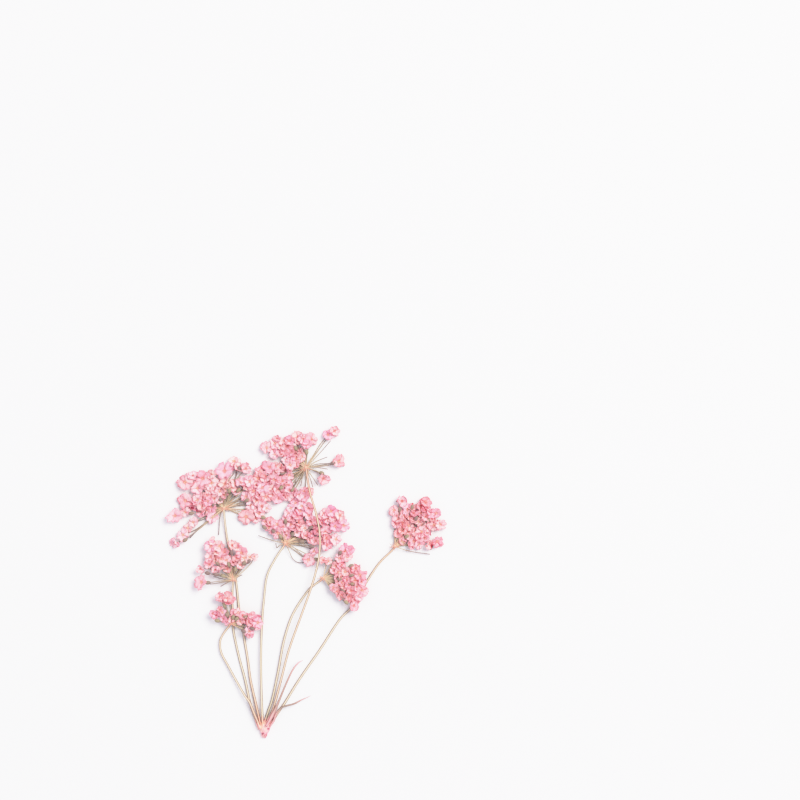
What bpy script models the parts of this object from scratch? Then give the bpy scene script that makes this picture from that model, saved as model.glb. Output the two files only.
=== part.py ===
"""A dried and dyed lace flower: one compound umbel, cut just under its rays and pressed nearly flat.

It lies on its side on a level surface at Z = 0, with the cut end at the origin, the rays
running along +Y and +Z pointing up at the viewer. Seven rays each carry an umbellet, a small
umbel of its own: a knot of thin stalks, each ending in a five-petalled floret. Everything is
in metres. The plan was read square from above, so the plan tables hold picture positions,
which one function turns into metres with the measured scale.
"""

import math
import random

import bmesh
import bpy
from mathutils import Matrix, Vector

MM = 0.001

# The picture's scale, and the picture position of the cut end, which is the origin.
MM_PER_PIXEL = 0.27
BASE_PIXEL = (265.0, 728.0)

# The gap that neighbouring pieces keep, in millimetres like every size below.
GAP = 0.3
WELD = 0.001

# The stub is a flattened egg, cut flat where it lies, with torn fibres at its lower end.
# A fibre is its offset to the side and its share of the full length.
STUB_HALF_WIDTH = 1.6
STUB_HALF_LENGTH = 1.75
STUB_HALF_HEIGHT = 1.0
STUB_MIDDLE_HEIGHT = 0.75
FIBRES = [(-0.75, 0.8), (0.15, 1.0), (0.8, 0.65)]
FIBRE_LENGTH = 1.5
FIBRE_ROOT_RADIUS = 0.5
FIBRE_TIP_RADIUS = 0.18
FIBRE_ROOT_DEPTH = 0.4
FIBRE_HEIGHT = 0.62
FIBRE_SIDES = 5

# A bevel resolution of one gives a ray six sides.
RAY_RADIUS_AT_ROOT = 0.36
RAY_RADIUS_AT_TIP = 0.28
RAY_BEVEL_RESOLUTION = 1

BLADE_THICKNESS = 0.62

# A stalk leaves its knot, drops to the bed by this share of its run, and flares at its ovary.
KNOT_RADIUS = 0.95
KNOT_HALF_HEIGHT = 0.6
STALK_RADIUS = 0.21
OVARY_RADIUS = 0.36
DROP_SHARE = 0.45

# A floret is a star-shaped funnel, solid and one closed body.
PETALS = 5
POINTS_PER_CLOSE_PETAL = 2
POINTS_PER_OPEN_PETAL = 3
NOTCH_REACH = 0.58
FLORET_DEPTH = 1.15
FLORET_DIP = 0.45
OUTWARD_GROWTH = 0.15
PETAL_LENGTH = (0.9, 1.08)
PETAL_LIFT = (-0.15, 0.15)
MOST_LEAN = 12
OPEN_FLORET_FROM = 1.65
CLOSE_SET_RADIUS = (1.1, 1.35)
CLOSENESS = 0.76
TRIES = 60
PATCH_REACH = 0.92

# A close-set patch has a small core in its middle, where its stalks run together. The florets
# over the core root in it, and those further out hang on short side stalks.
CORE_THICKNESS = 0.9
CORE_SHARE = 0.5
CORE_TAPER = 0.8
CORE_SIDES = 8
ROOT_DEPTH = 0.3
STALKS_TO_A_PATCH = 3
FAN_SHARE = 0.7
SIDE_ROOT_SHARE = 0.6

SHARP_ANGLE = 40
SEED = 73

# The many fused repeats are joined by the quick solver, which wants closed pieces.
SOLVER = "MANIFOLD"

# Each ray from its root to its umbellet: picture x, picture y, height of its centre line.
RAYS = {
    "ray_1": [
        (260.2, 721.4, 0.8), (255.3, 700, 0.75), (250.8, 680, 0.6), (248, 660, 0.42),
        (244.5, 639, 0.36), (242.0, 623, 0.36), (239.1, 608, 0.36), (236.3, 582, 0.36),
        (231.6, 560, 0.36), (227.9, 542, 0.5), (225.6, 524, 1.1), (224.6, 512.6, 1.4),
    ],
    "ray_2": [
        (257.8, 724.5, 0.6), (253.9, 714, 0.65), (250.0, 701.4, 0.65), (245.4, 680, 0.5),
        (240.0, 660, 0.4), (236.0, 643, 0.36), (233.3, 628, 0.36), (232.6, 608, 0.36),
        (232.6, 596, 0.8), (233.5, 583, 1.6),
    ],
    "ray_3": [
        (259.6, 723.8, 1.55), (255.0, 713, 1.75), (250.2, 701.4, 1.75), (245.0, 694.3, 1.5),
        (236.0, 679, 1.1), (228.0, 664.5, 0.9), (221.7, 652.5, 0.9), (220.4, 642, 1.0),
        (223.0, 634.6, 1.2), (229.2, 626, 1.6),
    ],
    "ray_4": [
        (262.9, 720.2, 1.25), (262.0, 698, 1.25), (261.3, 661, 1.3), (262.2, 625.7, 1.2),
        (264.4, 598, 1.1), (267.4, 575.5, 1.1), (275.7, 558.3, 1.2), (283.2, 547.0, 1.5),
    ],
    "ray_5": [
        (268.0, 721.2, 1.1), (271.2, 713.2, 1.3), (274.5, 704.6, 1.6), (281.2, 680, 2.0),
        (288.4, 652.3, 2.3), (295.4, 631.6, 2.5), (302.5, 612.4, 2.6), (312.3, 584.7, 2.8),
        (319.1, 558.3, 3.0), (320.4, 536, 3.1), (317.2, 515.3, 3.1), (310.5, 491.8, 3.0),
        (307.2, 472.6, 2.75),
    ],
    "ray_6": [
        (265.2, 720.6, 0.5), (269.1, 708.8, 0.6), (272.7, 698, 0.7), (278.6, 670, 0.8),
        (283.5, 643, 0.8), (290.0, 621, 0.7), (297.0, 606.6, 0.6), (307.4, 591.4, 0.6),
        (313.2, 585.6, 0.8), (319.6, 580.8, 1.3),
    ],
    "ray_7": [
        (270.9, 723.5, 0.6), (280.7, 708.6, 0.55), (285.2, 702.3, 0.5), (299.6, 679, 0.45),
        (320.0, 649.6, 0.4), (339.4, 620, 0.36), (352.4, 606.2, 0.36), (364.4, 585.6, 0.36),
        (378.5, 563.9, 0.6), (391.6, 550.6, 1.2),
    ],
}

# Each bract from its root to its tip: picture x, picture y, height, half its width.
BRACTS = {
    "bract_1": [
        (266.6, 725.0, 2.4, 0.4), (270.2, 719, 2.6, 0.6), (273.2, 713, 2.75, 0.75),
        (276.6, 706.2, 2.9, 0.6), (281.2, 695.5, 2.9, 0.5), (286.6, 682.5, 2.6, 0.45),
        (292.9, 669.3, 2.1, 0.4), (298.4, 662.2, 1.8, 0.34), (303.4, 659.4, 1.6, 0.3),
    ],
    "bract_2": [
        (270.4, 725.2, 1.75, 0.32), (274.2, 719.6, 1.75, 0.36), (276.8, 712.6, 1.8, 0.4),
        (282.4, 706.2, 1.8, 0.36), (294.0, 703.0, 1.5, 0.34), (301.3, 699.4, 1.2, 0.32),
        (311.0, 695.2, 0.9, 0.3),
    ],
}

# Each umbellet: the height that its florets' bed lies at, the knot that its stalks spring
# from, its single florets, the elliptical patches that close-set florets fill, and its stalks
# that have lost their floret. A knot is picture x, picture y, height. A floret is picture x,
# picture y, radius. A patch is picture x, picture y, half width, half height, turn in degrees.
# A bare stalk is the picture positions and heights that it runs through from the knot.
UMBELLETS = {
    "umbellet_1": {
        "bed": 0.0,
        "knot": (224.5, 508.0, 1.5),
        "florets": [
            (185.5, 482, 2.3), (203, 478.5, 2.3), (225, 471, 2.4), (234.5, 461, 1.6),
            (246, 468.5, 1.6), (186.5, 501, 2.1), (174.5, 516, 2.1), (184.5, 512.5, 1.4),
            (193, 524, 1.6), (184, 534.5, 1.7), (176.5, 543, 1.5), (213, 516, 1.7),
            (202, 511.5, 1.5), (246.5, 517, 2.1), (256, 518, 1.4), (212, 483, 1.9),
        ],
        "patches": [(209, 499, 18, 9, 30), (231, 488, 10, 6, 20), (257, 491, 9, 19, 0)],
        "bare": [[(220.5, 515, 0.8), (218.8, 535, 0.4)]],
    },
    "umbellet_2": {
        "bed": 1.1,
        "knot": (234.2, 578.5, 2.0),
        "florets": [
            (202, 567.5, 1.3), (202, 582, 1.9), (213, 545.5, 2.0), (223, 547, 1.5),
            (233, 545, 1.6), (242, 552.5, 1.5), (254, 556.5, 1.1), (212.5, 556, 1.5),
        ],
        "patches": [(226, 563, 19, 10, 10)],
        "bare": [[(228, 582, 1.6), (221, 586, 1.4)], [(239, 576, 2.2), (243, 574, 2.4)]],
    },
    "umbellet_3": {
        "bed": 1.1,
        "knot": (232.0, 621.7, 2.0),
        "florets": [
            (221.5, 595, 1.4), (228.5, 599, 1.8), (216, 615, 1.4), (222, 608, 1.1),
            (236, 612, 1.4), (243.5, 613.5, 1.2), (252, 613.5, 1.3), (257, 622, 1.8),
            (249.5, 631.5, 1.4), (223.5, 615.5, 1.2), (229.5, 614, 1.1), (241.5, 621, 1.3),
            (249.5, 621, 1.2),
        ],
        "patches": [],
        "bare": [],
    },
    "umbellet_4": {
        "bed": 0.0,
        "knot": (285.5, 543.0, 1.6),
        "florets": [
            (308.5, 559.5, 1.7), (314, 551, 1.2), (340, 515, 1.6), (344, 525, 1.6),
            (336, 539, 1.6), (327, 545, 1.4),
        ],
        "patches": [(279, 527, 13, 7, 25), (300, 518, 14, 16, -30), (327, 526, 10, 15, 0)],
        "bare": [[(272, 540, 0.9), (258.5, 535.3, 0.8)], [(280, 545.5, 1.4), (276, 545, 1.2)]],
    },
    "umbellet_5": {
        "bed": 0.0,
        "knot": (306.3, 467.5, 2.2),
        "florets": [
            (277.5, 438.5, 1.2), (267, 448, 1.7), (311, 439, 1.8), (270, 467, 2.1),
            (327, 435, 1.4), (335, 430, 1.4), (339, 461.5, 1.8), (323.5, 478.5, 1.6),
        ],
        "patches": [
            (288, 447, 18, 8, 8), (297, 460, 8, 8, 0), (278, 476, 12, 11, 0),
            (284, 492, 10, 9, 0), (304, 491, 9, 4, 0),
        ],
        "bare": [[(317, 461, 2.0), (327.7, 456.7, 2.2)], [(312, 476, 1.5), (318, 485, 1.2)]],
    },
    "umbellet_6": {
        "bed": 1.1,
        "knot": (324.3, 578.0, 1.8),
        "florets": [
            (345.5, 549.5, 1.4), (348.5, 558, 1.2), (361.5, 580, 1.6), (360.5, 592, 1.6),
            (354, 604.5, 1.2), (327, 560, 1.2), (357.5, 570, 1.4),
        ],
        "patches": [(344, 579, 12, 18, 25)],
        "bare": [],
    },
    "umbellet_7": {
        "bed": 0.0,
        "knot": (395.0, 546.0, 1.6),
        "florets": [
            (437, 541, 1.7), (402, 501, 1.6), (440, 524, 1.6), (425, 502, 1.5),
        ],
        "patches": [(414, 524, 20, 17, 20)],
        "bare": [[(410, 551, 0.9), (430, 554, 0.6)]],
    },
}

STEM_TAN = (0.62, 0.49, 0.30)
STUB_PEACH = (0.85, 0.42, 0.33)
BRACT_MAUVE = (0.55, 0.27, 0.27)
PETAL_PINK = (0.86, 0.33, 0.40)


def clear_scene():
    for obj in list(bpy.data.objects):
        bpy.data.objects.remove(obj, do_unlink=True)


def new_collection(name):
    collection = bpy.data.collections.new(name)
    bpy.context.scene.collection.children.link(collection)
    return collection


def new_material(name, color, roughness):
    material = bpy.data.materials.new(name)
    material.use_nodes = True
    shader = material.node_tree.nodes["Principled BSDF"]
    shader.inputs["Base Color"].default_value = (*color, 1.0)
    shader.inputs["Roughness"].default_value = roughness
    shader.inputs["Metallic"].default_value = 0.0
    return material


def place(pixel_x, pixel_y, height):
    """A picture position and a height in millimetres as a point in metres."""
    x = (pixel_x - BASE_PIXEL[0]) * MM_PER_PIXEL
    y = (BASE_PIXEL[1] - pixel_y) * MM_PER_PIXEL
    return Vector((x, y, height)) * MM


def object_from_bmesh(name, bm, collection):
    mesh = bpy.data.meshes.new(name)
    bm.to_mesh(mesh)
    bm.free()
    obj = bpy.data.objects.new(name, mesh)
    collection.objects.link(obj)
    return obj


def tube(name, points, radii, profile, collection):
    """A closed tube of the profile's section through the points, as a curve object."""
    curve = bpy.data.curves.new(name, "CURVE")
    curve.dimensions = "3D"
    curve.use_fill_caps = True
    if profile is None:
        curve.bevel_depth = 1.0
        curve.bevel_resolution = RAY_BEVEL_RESOLUTION
    else:
        curve.bevel_mode = "OBJECT"
        curve.bevel_object = profile
    spline = curve.splines.new("POLY")
    spline.points.add(len(points) - 1)
    for spot, point, radius in zip(spline.points, points, radii):
        spot.co = (*point, 1.0)
        spot.radius = radius * MM
    obj = bpy.data.objects.new(name, curve)
    collection.objects.link(obj)
    return obj


def meshes_from_tubes(tubes, collection):
    """The tubes as closed mesh objects. The curves are removed."""
    bpy.context.view_layer.update()
    graph = bpy.context.evaluated_depsgraph_get()
    made = []
    for curve_object in tubes:
        mesh = bpy.data.meshes.new_from_object(curve_object.evaluated_get(graph))
        bm = bmesh.new()
        bm.from_mesh(mesh)
        bmesh.ops.remove_doubles(bm, verts=bm.verts, dist=WELD * MM)
        bmesh.ops.recalc_face_normals(bm, faces=bm.faces)
        bm.to_mesh(mesh)
        bm.free()
        name = curve_object.name
        curve_object.name = name + "_path"
        obj = bpy.data.objects.new(name, mesh)
        obj.matrix_world = curve_object.matrix_world
        collection.objects.link(obj)
        made.append(obj)
    for curve_object in tubes:
        bpy.data.objects.remove(curve_object, do_unlink=True)
    return made


def triangle_profile(collection):
    """The three-sided section of a floret's stalk, of radius one."""
    curve = bpy.data.curves.new("stalk_section", "CURVE")
    curve.dimensions = "2D"
    spline = curve.splines.new("POLY")
    spline.points.add(2)
    for index, spot in enumerate(spline.points):
        angle = 2 * math.pi * index / 3
        spot.co = (math.cos(angle), math.sin(angle), 0.0, 1.0)
    spline.use_cyclic_u = True
    obj = bpy.data.objects.new("stalk_section", curve)
    obj.hide_render = True
    obj.display_type = "WIRE"
    collection.objects.link(obj)
    return obj


def connected_verts(first):
    found = {first}
    waiting = [first]
    while waiting:
        for edge in waiting.pop().link_edges:
            for vert in edge.verts:
                if vert not in found:
                    found.add(vert)
                    waiting.append(vert)
    return found


def keep_outer_skin(mesh):
    """Deletes what fusing left inside a sealed hollow, and any loose scrap."""
    bm = bmesh.new()
    bm.from_mesh(mesh)
    skins = []
    unseen = set(bm.verts)
    while unseen:
        skin = connected_verts(next(iter(unseen)))
        unseen -= skin
        skins.append(skin)
    skins.sort(key=len)
    scraps = [vert for skin in skins[:-1] for vert in skin]
    bmesh.ops.delete(bm, geom=scraps, context="VERTS")
    bm.to_mesh(mesh)
    bm.free()


def fuse(body, pieces):
    """Joins the pieces into the body with one Boolean union, and removes them."""
    group = new_collection(body.name + "_pieces")
    for piece in pieces:
        for owner in list(piece.users_collection):
            owner.objects.unlink(piece)
        group.objects.link(piece)
    union = body.modifiers.new("fused", "BOOLEAN")
    union.operation = "UNION"
    union.operand_type = "COLLECTION"
    union.collection = group
    union.solver = SOLVER
    bpy.context.view_layer.update()
    graph = bpy.context.evaluated_depsgraph_get()
    mesh = bpy.data.meshes.new_from_object(body.evaluated_get(graph))
    body.modifiers.remove(union)
    keep_outer_skin(mesh)
    body.data = mesh
    for piece in pieces:
        bpy.data.objects.remove(piece, do_unlink=True)
    bpy.data.collections.remove(group)


def finish(obj, material, collection):
    """The object's only material, smooth shading, and its place in the flower's collection."""
    obj.data.materials.clear()
    obj.data.materials.append(material)
    obj.data.shade_smooth()
    obj.data.set_sharp_from_angle(angle=math.radians(SHARP_ANGLE))
    if obj.name not in collection.objects:
        collection.objects.link(obj)


def make_stub(helpers):
    """The cut end of the stalk that all the rays grow from, flat where it lies."""
    bm = bmesh.new()
    bmesh.ops.create_uvsphere(bm, u_segments=12, v_segments=8, radius=MM)
    bmesh.ops.rotate(bm, verts=bm.verts, matrix=Matrix.Rotation(math.pi / 2, 3, "X"))
    half_size = Vector((STUB_HALF_WIDTH, STUB_HALF_LENGTH, STUB_HALF_HEIGHT))
    bmesh.ops.scale(bm, verts=bm.verts, vec=half_size)
    bmesh.ops.translate(bm, verts=bm.verts, vec=(0, 0, STUB_MIDDLE_HEIGHT * MM))
    whole = bm.verts[:] + bm.edges[:] + bm.faces[:]
    cut = bmesh.ops.bisect_plane(
        bm, geom=whole, dist=WELD * MM, plane_co=(0, 0, 0), plane_no=(0, 0, -1), clear_outer=True
    )
    rim = [item for item in cut["geom_cut"] if isinstance(item, bmesh.types.BMEdge)]
    bmesh.ops.contextual_create(bm, geom=rim)
    stub = object_from_bmesh("peduncle_stub", bm, helpers)
    fibres = []
    for index, (side, length) in enumerate(FIBRES):
        bm = bmesh.new()
        bmesh.ops.create_cone(
            bm, cap_ends=True, segments=FIBRE_SIDES, radius1=FIBRE_ROOT_RADIUS * MM,
            radius2=FIBRE_TIP_RADIUS * MM, depth=2 * FIBRE_LENGTH * length * MM,
        )
        bmesh.ops.rotate(bm, verts=bm.verts, matrix=Matrix.Rotation(math.pi / 2, 3, "X"))
        root = Vector((side, FIBRE_ROOT_DEPTH - STUB_HALF_LENGTH, FIBRE_HEIGHT)) * MM
        bmesh.ops.translate(bm, verts=bm.verts, vec=root)
        fibres.append(object_from_bmesh(f"fibre_{index}", bm, helpers))
    fuse(stub, fibres)
    return stub


def make_rays(helpers):
    tubes = []
    for name, path in RAYS.items():
        points = [place(*spot) for spot in path]
        last = len(points) - 1
        thinning = RAY_RADIUS_AT_ROOT - RAY_RADIUS_AT_TIP
        radii = [RAY_RADIUS_AT_ROOT - thinning * index / last for index in range(last + 1)]
        tubes.append(tube(name, points, radii, None, helpers))
    return meshes_from_tubes(tubes, helpers)


def make_bract(name, path, helpers):
    """A narrow leaf: a strip of the given widths along its path, thickened by Solidify."""
    bm = bmesh.new()
    last = len(path) - 1
    bmesh.ops.create_grid(bm, x_segments=last, y_segments=1, size=1.0)
    for vert in bm.verts:
        index = round((vert.co.x + 1) / 2 * last)
        spot = place(*path[index][:3])
        before = place(*path[max(index - 1, 0)][:3])
        after = place(*path[min(index + 1, last)][:3])
        along = (after - before).normalized()
        across = Vector((0, 0, 1)).cross(along).normalized()
        vert.co = spot + across * vert.co.y * path[index][3] * MM
    bmesh.ops.triangulate(bm, faces=bm.faces)
    bract = object_from_bmesh(name, bm, helpers)
    thickness = bract.modifiers.new("thickness", "SOLIDIFY")
    thickness.thickness = BLADE_THICKNESS * MM
    thickness.offset = 0.0
    return bract


class Floret:
    """Where one floret sits in plan, in millimetres, and how big it is."""

    def __init__(self, x, y, radius):
        self.x = x
        self.y = y
        self.radius = radius

    def distance(self, other):
        return math.hypot(self.x - other.x, self.y - other.y)


def crowding(floret, own, foreign):
    """Above one, the floret stands too close to another of its own umbellet or of the rest."""
    worst = 0.0
    for other in own:
        needed = CLOSENESS * (floret.radius + other.radius)
        worst = max(worst, needed / floret.distance(other))
    for other in foreign:
        needed = floret.radius + other.radius + 2 * GAP
        worst = max(worst, needed / floret.distance(other))
    return worst


def turn_of(patch):
    return Matrix.Rotation(math.radians(patch[4]), 2)


def fill_patch(draw, patch, own, foreign):
    """Close-set florets over a patch, each the best of a few tries, until it is full."""
    middle = place(patch[0], patch[1], 0) / MM
    made = []
    while True:
        tries = []
        for _ in range(TRIES):
            angle = draw.uniform(0, 2 * math.pi)
            reach = math.sqrt(draw.random()) * PATCH_REACH * MM_PER_PIXEL
            offset = Vector((patch[2] * math.cos(angle), patch[3] * math.sin(angle))) * reach
            offset = turn_of(patch) @ offset
            radius = draw.uniform(*CLOSE_SET_RADIUS)
            floret = Floret(middle.x + offset.x, middle.y + offset.y, radius)
            tries.append((crowding(floret, own + made, foreign), floret.x, floret))
        crowded, _, best = min(tries)
        if crowded > 1.0:
            return made
        made.append(best)


def make_floret(name, floret, tip_height, outward, draw, helpers):
    """A solid star-shaped funnel standing on its tip: notched petals round a sunk middle."""
    is_open = floret.radius >= OPEN_FLORET_FROM
    points = POINTS_PER_OPEN_PETAL if is_open else POINTS_PER_CLOSE_PETAL
    sides = PETALS * points
    bm = bmesh.new()
    bmesh.ops.create_cone(
        bm, cap_ends=True, segments=sides, radius1=0.0, radius2=1.0, depth=FLORET_DEPTH * MM
    )
    bmesh.ops.translate(bm, verts=bm.verts, vec=(0, 0, FLORET_DEPTH / 2 * MM))
    top = max(bm.faces, key=lambda face: len(face.verts))
    middle = bmesh.ops.poke(bm, faces=[top])["verts"][0]
    middle.co.z -= FLORET_DIP * MM
    lengths = [draw.uniform(*PETAL_LENGTH) for _ in range(PETALS)]
    lifts = [draw.uniform(*PETAL_LIFT) for _ in range(PETALS)]
    turn = draw.uniform(0, 2 * math.pi)
    for vert in bm.verts:
        if vert is middle or vert.co.xy.length == 0.0:
            continue
        angle = math.atan2(vert.co.y, vert.co.x)
        step = round(angle / (2 * math.pi) * sides) % sides
        petal, corner = divmod(step, points)
        reach = NOTCH_REACH
        if corner:
            growth = OUTWARD_GROWTH * is_open * math.cos(angle + turn - outward)
            reach = lengths[petal] + growth
            vert.co.z += lifts[petal] * MM
        vert.co.x = math.cos(angle) * floret.radius * reach * MM
        vert.co.y = math.sin(angle) * floret.radius * reach * MM
    bmesh.ops.rotate(bm, verts=bm.verts, matrix=Matrix.Rotation(turn, 3, "Z"))
    lean = Matrix.Rotation(math.radians(draw.uniform(0, MOST_LEAN)), 3, "Y")
    heading = Matrix.Rotation(outward + draw.uniform(-1, 1), 3, "Z")
    bmesh.ops.rotate(bm, verts=bm.verts, matrix=heading @ lean @ heading.inverted())
    tip = Vector((floret.x, floret.y, tip_height)) * MM
    bmesh.ops.translate(bm, verts=bm.verts, vec=tip)
    bmesh.ops.triangulate(bm, faces=bm.faces)
    return object_from_bmesh(name, bm, helpers)


def make_core(name, patch, bed, helpers):
    """The flat body that a patch's florets root in, smaller than the patch."""
    bm = bmesh.new()
    bmesh.ops.create_cone(
        bm, cap_ends=True, segments=CORE_SIDES, radius1=CORE_TAPER, radius2=1.0,
        depth=CORE_THICKNESS * MM,
    )
    share = CORE_SHARE * MM_PER_PIXEL * MM
    bmesh.ops.scale(bm, verts=bm.verts, vec=(patch[2] * share, patch[3] * share, 1))
    bmesh.ops.rotate(bm, verts=bm.verts, matrix=turn_of(patch).to_3x3())
    middle = place(patch[0], patch[1], bed + CORE_THICKNESS / 2)
    bmesh.ops.translate(bm, verts=bm.verts, vec=middle)
    return object_from_bmesh(name, bm, helpers)


def share_outward(patch, floret):
    """How far out in its patch a floret stands: 0 at the middle, 1 at the rim."""
    middle = place(patch[0], patch[1], 0) / MM
    offset = Vector((floret.x - middle.x, floret.y - middle.y))
    offset = turn_of(patch).inverted() @ offset
    return math.hypot(offset.x / patch[2], offset.y / patch[3]) / MM_PER_PIXEL


def side_stalks(patch, florets, bed):
    """Paths from inside the core to the tips of the florets that stand clear of it."""
    middle = place(patch[0], patch[1], bed + CORE_THICKNESS / 2)
    paths = []
    for floret in florets:
        share = share_outward(patch, floret)
        if share > FAN_SHARE * CORE_SHARE:
            tip = Vector((floret.x, floret.y, bed + CORE_THICKNESS - ROOT_DEPTH / 2)) * MM
            paths.append([middle.lerp(tip, SIDE_ROOT_SHARE * CORE_SHARE / share), tip])
    return paths


def patch_stalks(knot, patch, bed):
    """Paths from the knot that fan out into the patch's core."""
    middle = place(patch[0], patch[1], bed + CORE_THICKNESS / 2)
    across = Vector((0, 0, 1)).cross(middle - knot).normalized()
    spread = turn_of(patch).to_3x3() @ Vector((patch[2], patch[3], 0))
    half_width = min(abs(across.dot(spread)), patch[2], patch[3]) * MM_PER_PIXEL * MM
    paths = []
    for index in range(STALKS_TO_A_PATCH):
        side = 2 * index / (STALKS_TO_A_PATCH - 1) - 1
        end = middle + across * half_width * FAN_SHARE * CORE_SHARE * side
        drop = knot.lerp(end, DROP_SHARE)
        drop.z = end.z
        paths.append([knot, drop, end])
    return paths


def make_umbellet(name, umbellet, foreign, draw, profile, helpers):
    """The knot, its stalks, cores and florets, fused into one body."""
    knot = place(*umbellet["knot"])
    bed = umbellet["bed"]
    bm = bmesh.new()
    bmesh.ops.create_icosphere(bm, subdivisions=1, radius=MM)
    half_size = Vector((KNOT_RADIUS, KNOT_RADIUS, KNOT_HALF_HEIGHT))
    bmesh.ops.scale(bm, verts=bm.verts, vec=half_size)
    bmesh.ops.translate(bm, verts=bm.verts, vec=knot)
    body = object_from_bmesh(name, bm, helpers)

    singles = []
    for pixel_x, pixel_y, radius in umbellet["florets"]:
        spot = place(pixel_x, pixel_y, 0) / MM
        singles.append(Floret(spot.x, spot.y, radius))
    close_set = []
    pieces = []
    stalks = []
    even = [STALK_RADIUS] * 3
    for number, patch in enumerate(umbellet["patches"]):
        filling = fill_patch(draw, patch, singles + close_set, foreign)
        close_set += filling
        pieces.append(make_core(f"{name}_core_{number}", patch, bed, helpers))
        runs = patch_stalks(knot, patch, bed) + side_stalks(patch, filling, bed)
        for index, path in enumerate(runs):
            stalk = tube(f"{name}_stalk_{number}_{index}", path, even, profile, helpers)
            stalks.append(stalk)
    root_height = bed + CORE_THICKNESS - ROOT_DEPTH
    for index, floret in enumerate(singles + close_set):
        outward = math.atan2(floret.y - knot.y / MM, floret.x - knot.x / MM)
        label = f"{name}_floret_{index}"
        pieces.append(make_floret(label, floret, root_height, outward, draw, helpers))
    for index, floret in enumerate(singles):
        end = Vector((floret.x, floret.y, root_height + ROOT_DEPTH)) * MM
        drop = knot.lerp(end, DROP_SHARE)
        drop.z = (bed + CORE_THICKNESS / 2) * MM
        radii = [STALK_RADIUS, STALK_RADIUS, OVARY_RADIUS]
        path = [knot, drop, end]
        stalks.append(tube(f"{name}_single_{index}", path, radii, profile, helpers))
    for index, run in enumerate(umbellet["bare"]):
        path = [knot] + [place(*spot) for spot in run]
        stalks.append(tube(f"{name}_bare_{index}", path, even, profile, helpers))
    pieces += meshes_from_tubes(stalks, helpers)
    fuse(body, pieces)
    return body, singles + close_set


def main():
    clear_scene()
    flower = new_collection("lace_flower")
    helpers = new_collection("helpers")
    stem = new_material("dried_stem", STEM_TAN, 0.6)
    peach = new_material("stub_peach", STUB_PEACH, 0.7)
    mauve = new_material("bract_mauve", BRACT_MAUVE, 0.7)
    pink = new_material("petal_pink", PETAL_PINK, 0.75)

    finish(make_stub(helpers), peach, flower)
    for ray in make_rays(helpers):
        finish(ray, stem, flower)
    for name, path in BRACTS.items():
        finish(make_bract(name, path, helpers), mauve, flower)

    profile = triangle_profile(helpers)
    draw = random.Random(SEED)
    placed = []
    for name, umbellet in UMBELLETS.items():
        body, florets = make_umbellet(name, umbellet, placed, draw, profile, helpers)
        placed += florets
        finish(body, pink, flower)
    for obj in list(helpers.objects):
        if obj.name in flower.objects:
            helpers.objects.unlink(obj)
    helpers.hide_render = True


main()
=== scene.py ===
# %% [markdown]
# # A pressed lace flower
# One compound umbel, dried, dyed pink and pressed flat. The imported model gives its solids: the
# cut stalk end, seven rays, two narrow bracts and seven umbellets. This script keeps their places
# and puts finer pieces over them: real petals, ovaries, ridged rays and torn fibres.

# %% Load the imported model
import math
import random

import bmesh
import bpy
from mathutils import Matrix, Vector, noise


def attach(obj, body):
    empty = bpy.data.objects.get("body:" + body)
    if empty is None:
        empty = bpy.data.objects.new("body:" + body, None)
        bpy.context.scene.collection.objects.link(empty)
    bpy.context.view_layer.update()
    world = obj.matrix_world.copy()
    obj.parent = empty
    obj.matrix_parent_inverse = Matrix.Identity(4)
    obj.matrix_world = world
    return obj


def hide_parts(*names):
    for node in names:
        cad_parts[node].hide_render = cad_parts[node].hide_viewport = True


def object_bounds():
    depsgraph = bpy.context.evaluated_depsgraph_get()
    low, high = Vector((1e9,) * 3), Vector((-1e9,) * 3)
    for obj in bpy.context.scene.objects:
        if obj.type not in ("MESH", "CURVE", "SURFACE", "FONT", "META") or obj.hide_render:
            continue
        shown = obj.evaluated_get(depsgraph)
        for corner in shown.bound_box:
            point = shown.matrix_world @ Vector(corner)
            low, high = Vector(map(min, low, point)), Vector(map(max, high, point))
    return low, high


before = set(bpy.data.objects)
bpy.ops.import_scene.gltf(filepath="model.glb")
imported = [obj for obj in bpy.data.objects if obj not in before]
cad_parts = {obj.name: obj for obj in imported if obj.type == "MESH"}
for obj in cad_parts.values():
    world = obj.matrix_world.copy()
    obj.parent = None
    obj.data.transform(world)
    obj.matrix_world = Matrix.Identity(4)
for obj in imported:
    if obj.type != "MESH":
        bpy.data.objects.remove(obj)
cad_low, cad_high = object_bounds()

cad_size = [round(1000 * side, 1) for side in cad_high - cad_low]
print("solids:", len(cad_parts), "box in mm:", cad_size)

# %% [markdown]
# ## One scale for everything
# Plan positions were read from the picture, seen square from above. One function turns them into
# metres: the cut stalk end is the origin, and a picture pixel is 0.27 mm of the real flower.

# %% Scale and places
MM = 0.001
MM_PER_PIXEL = 0.27
BASE_PIXEL = (265.0, 728.0)
SEED = 73
# without this, Blender's vector noise takes its seed from the clock
noise.seed_set(SEED)


def place(pixel_x, pixel_y, height):
    x = (pixel_x - BASE_PIXEL[0]) * MM_PER_PIXEL
    y = (BASE_PIXEL[1] - pixel_y) * MM_PER_PIXEL
    return Vector((x, y, height)) * MM


def new_object(name, bm, material):
    # extruding leaves faces in an order that changes with each run, so it is set by their points
    bm.verts.index_update()
    faces = sorted(bm.faces, key=lambda face: sorted(vert.index for vert in face.verts))
    for number, face in enumerate(faces):
        face.index = number
    bm.faces.sort()
    mesh = bpy.data.meshes.new(name)
    bm.to_mesh(mesh)
    bm.free()
    mesh.materials.append(material)
    mesh.shade_smooth()
    obj = bpy.data.objects.new(name, mesh)
    bpy.context.scene.collection.objects.link(obj)
    return obj


def belongs(obj, node):
    """The piece rides on the flower's only body and stands for this solid."""
    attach(obj, "root")
    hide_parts(node)
    print(obj.name, len(obj.data.polygons), "faces")


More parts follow.
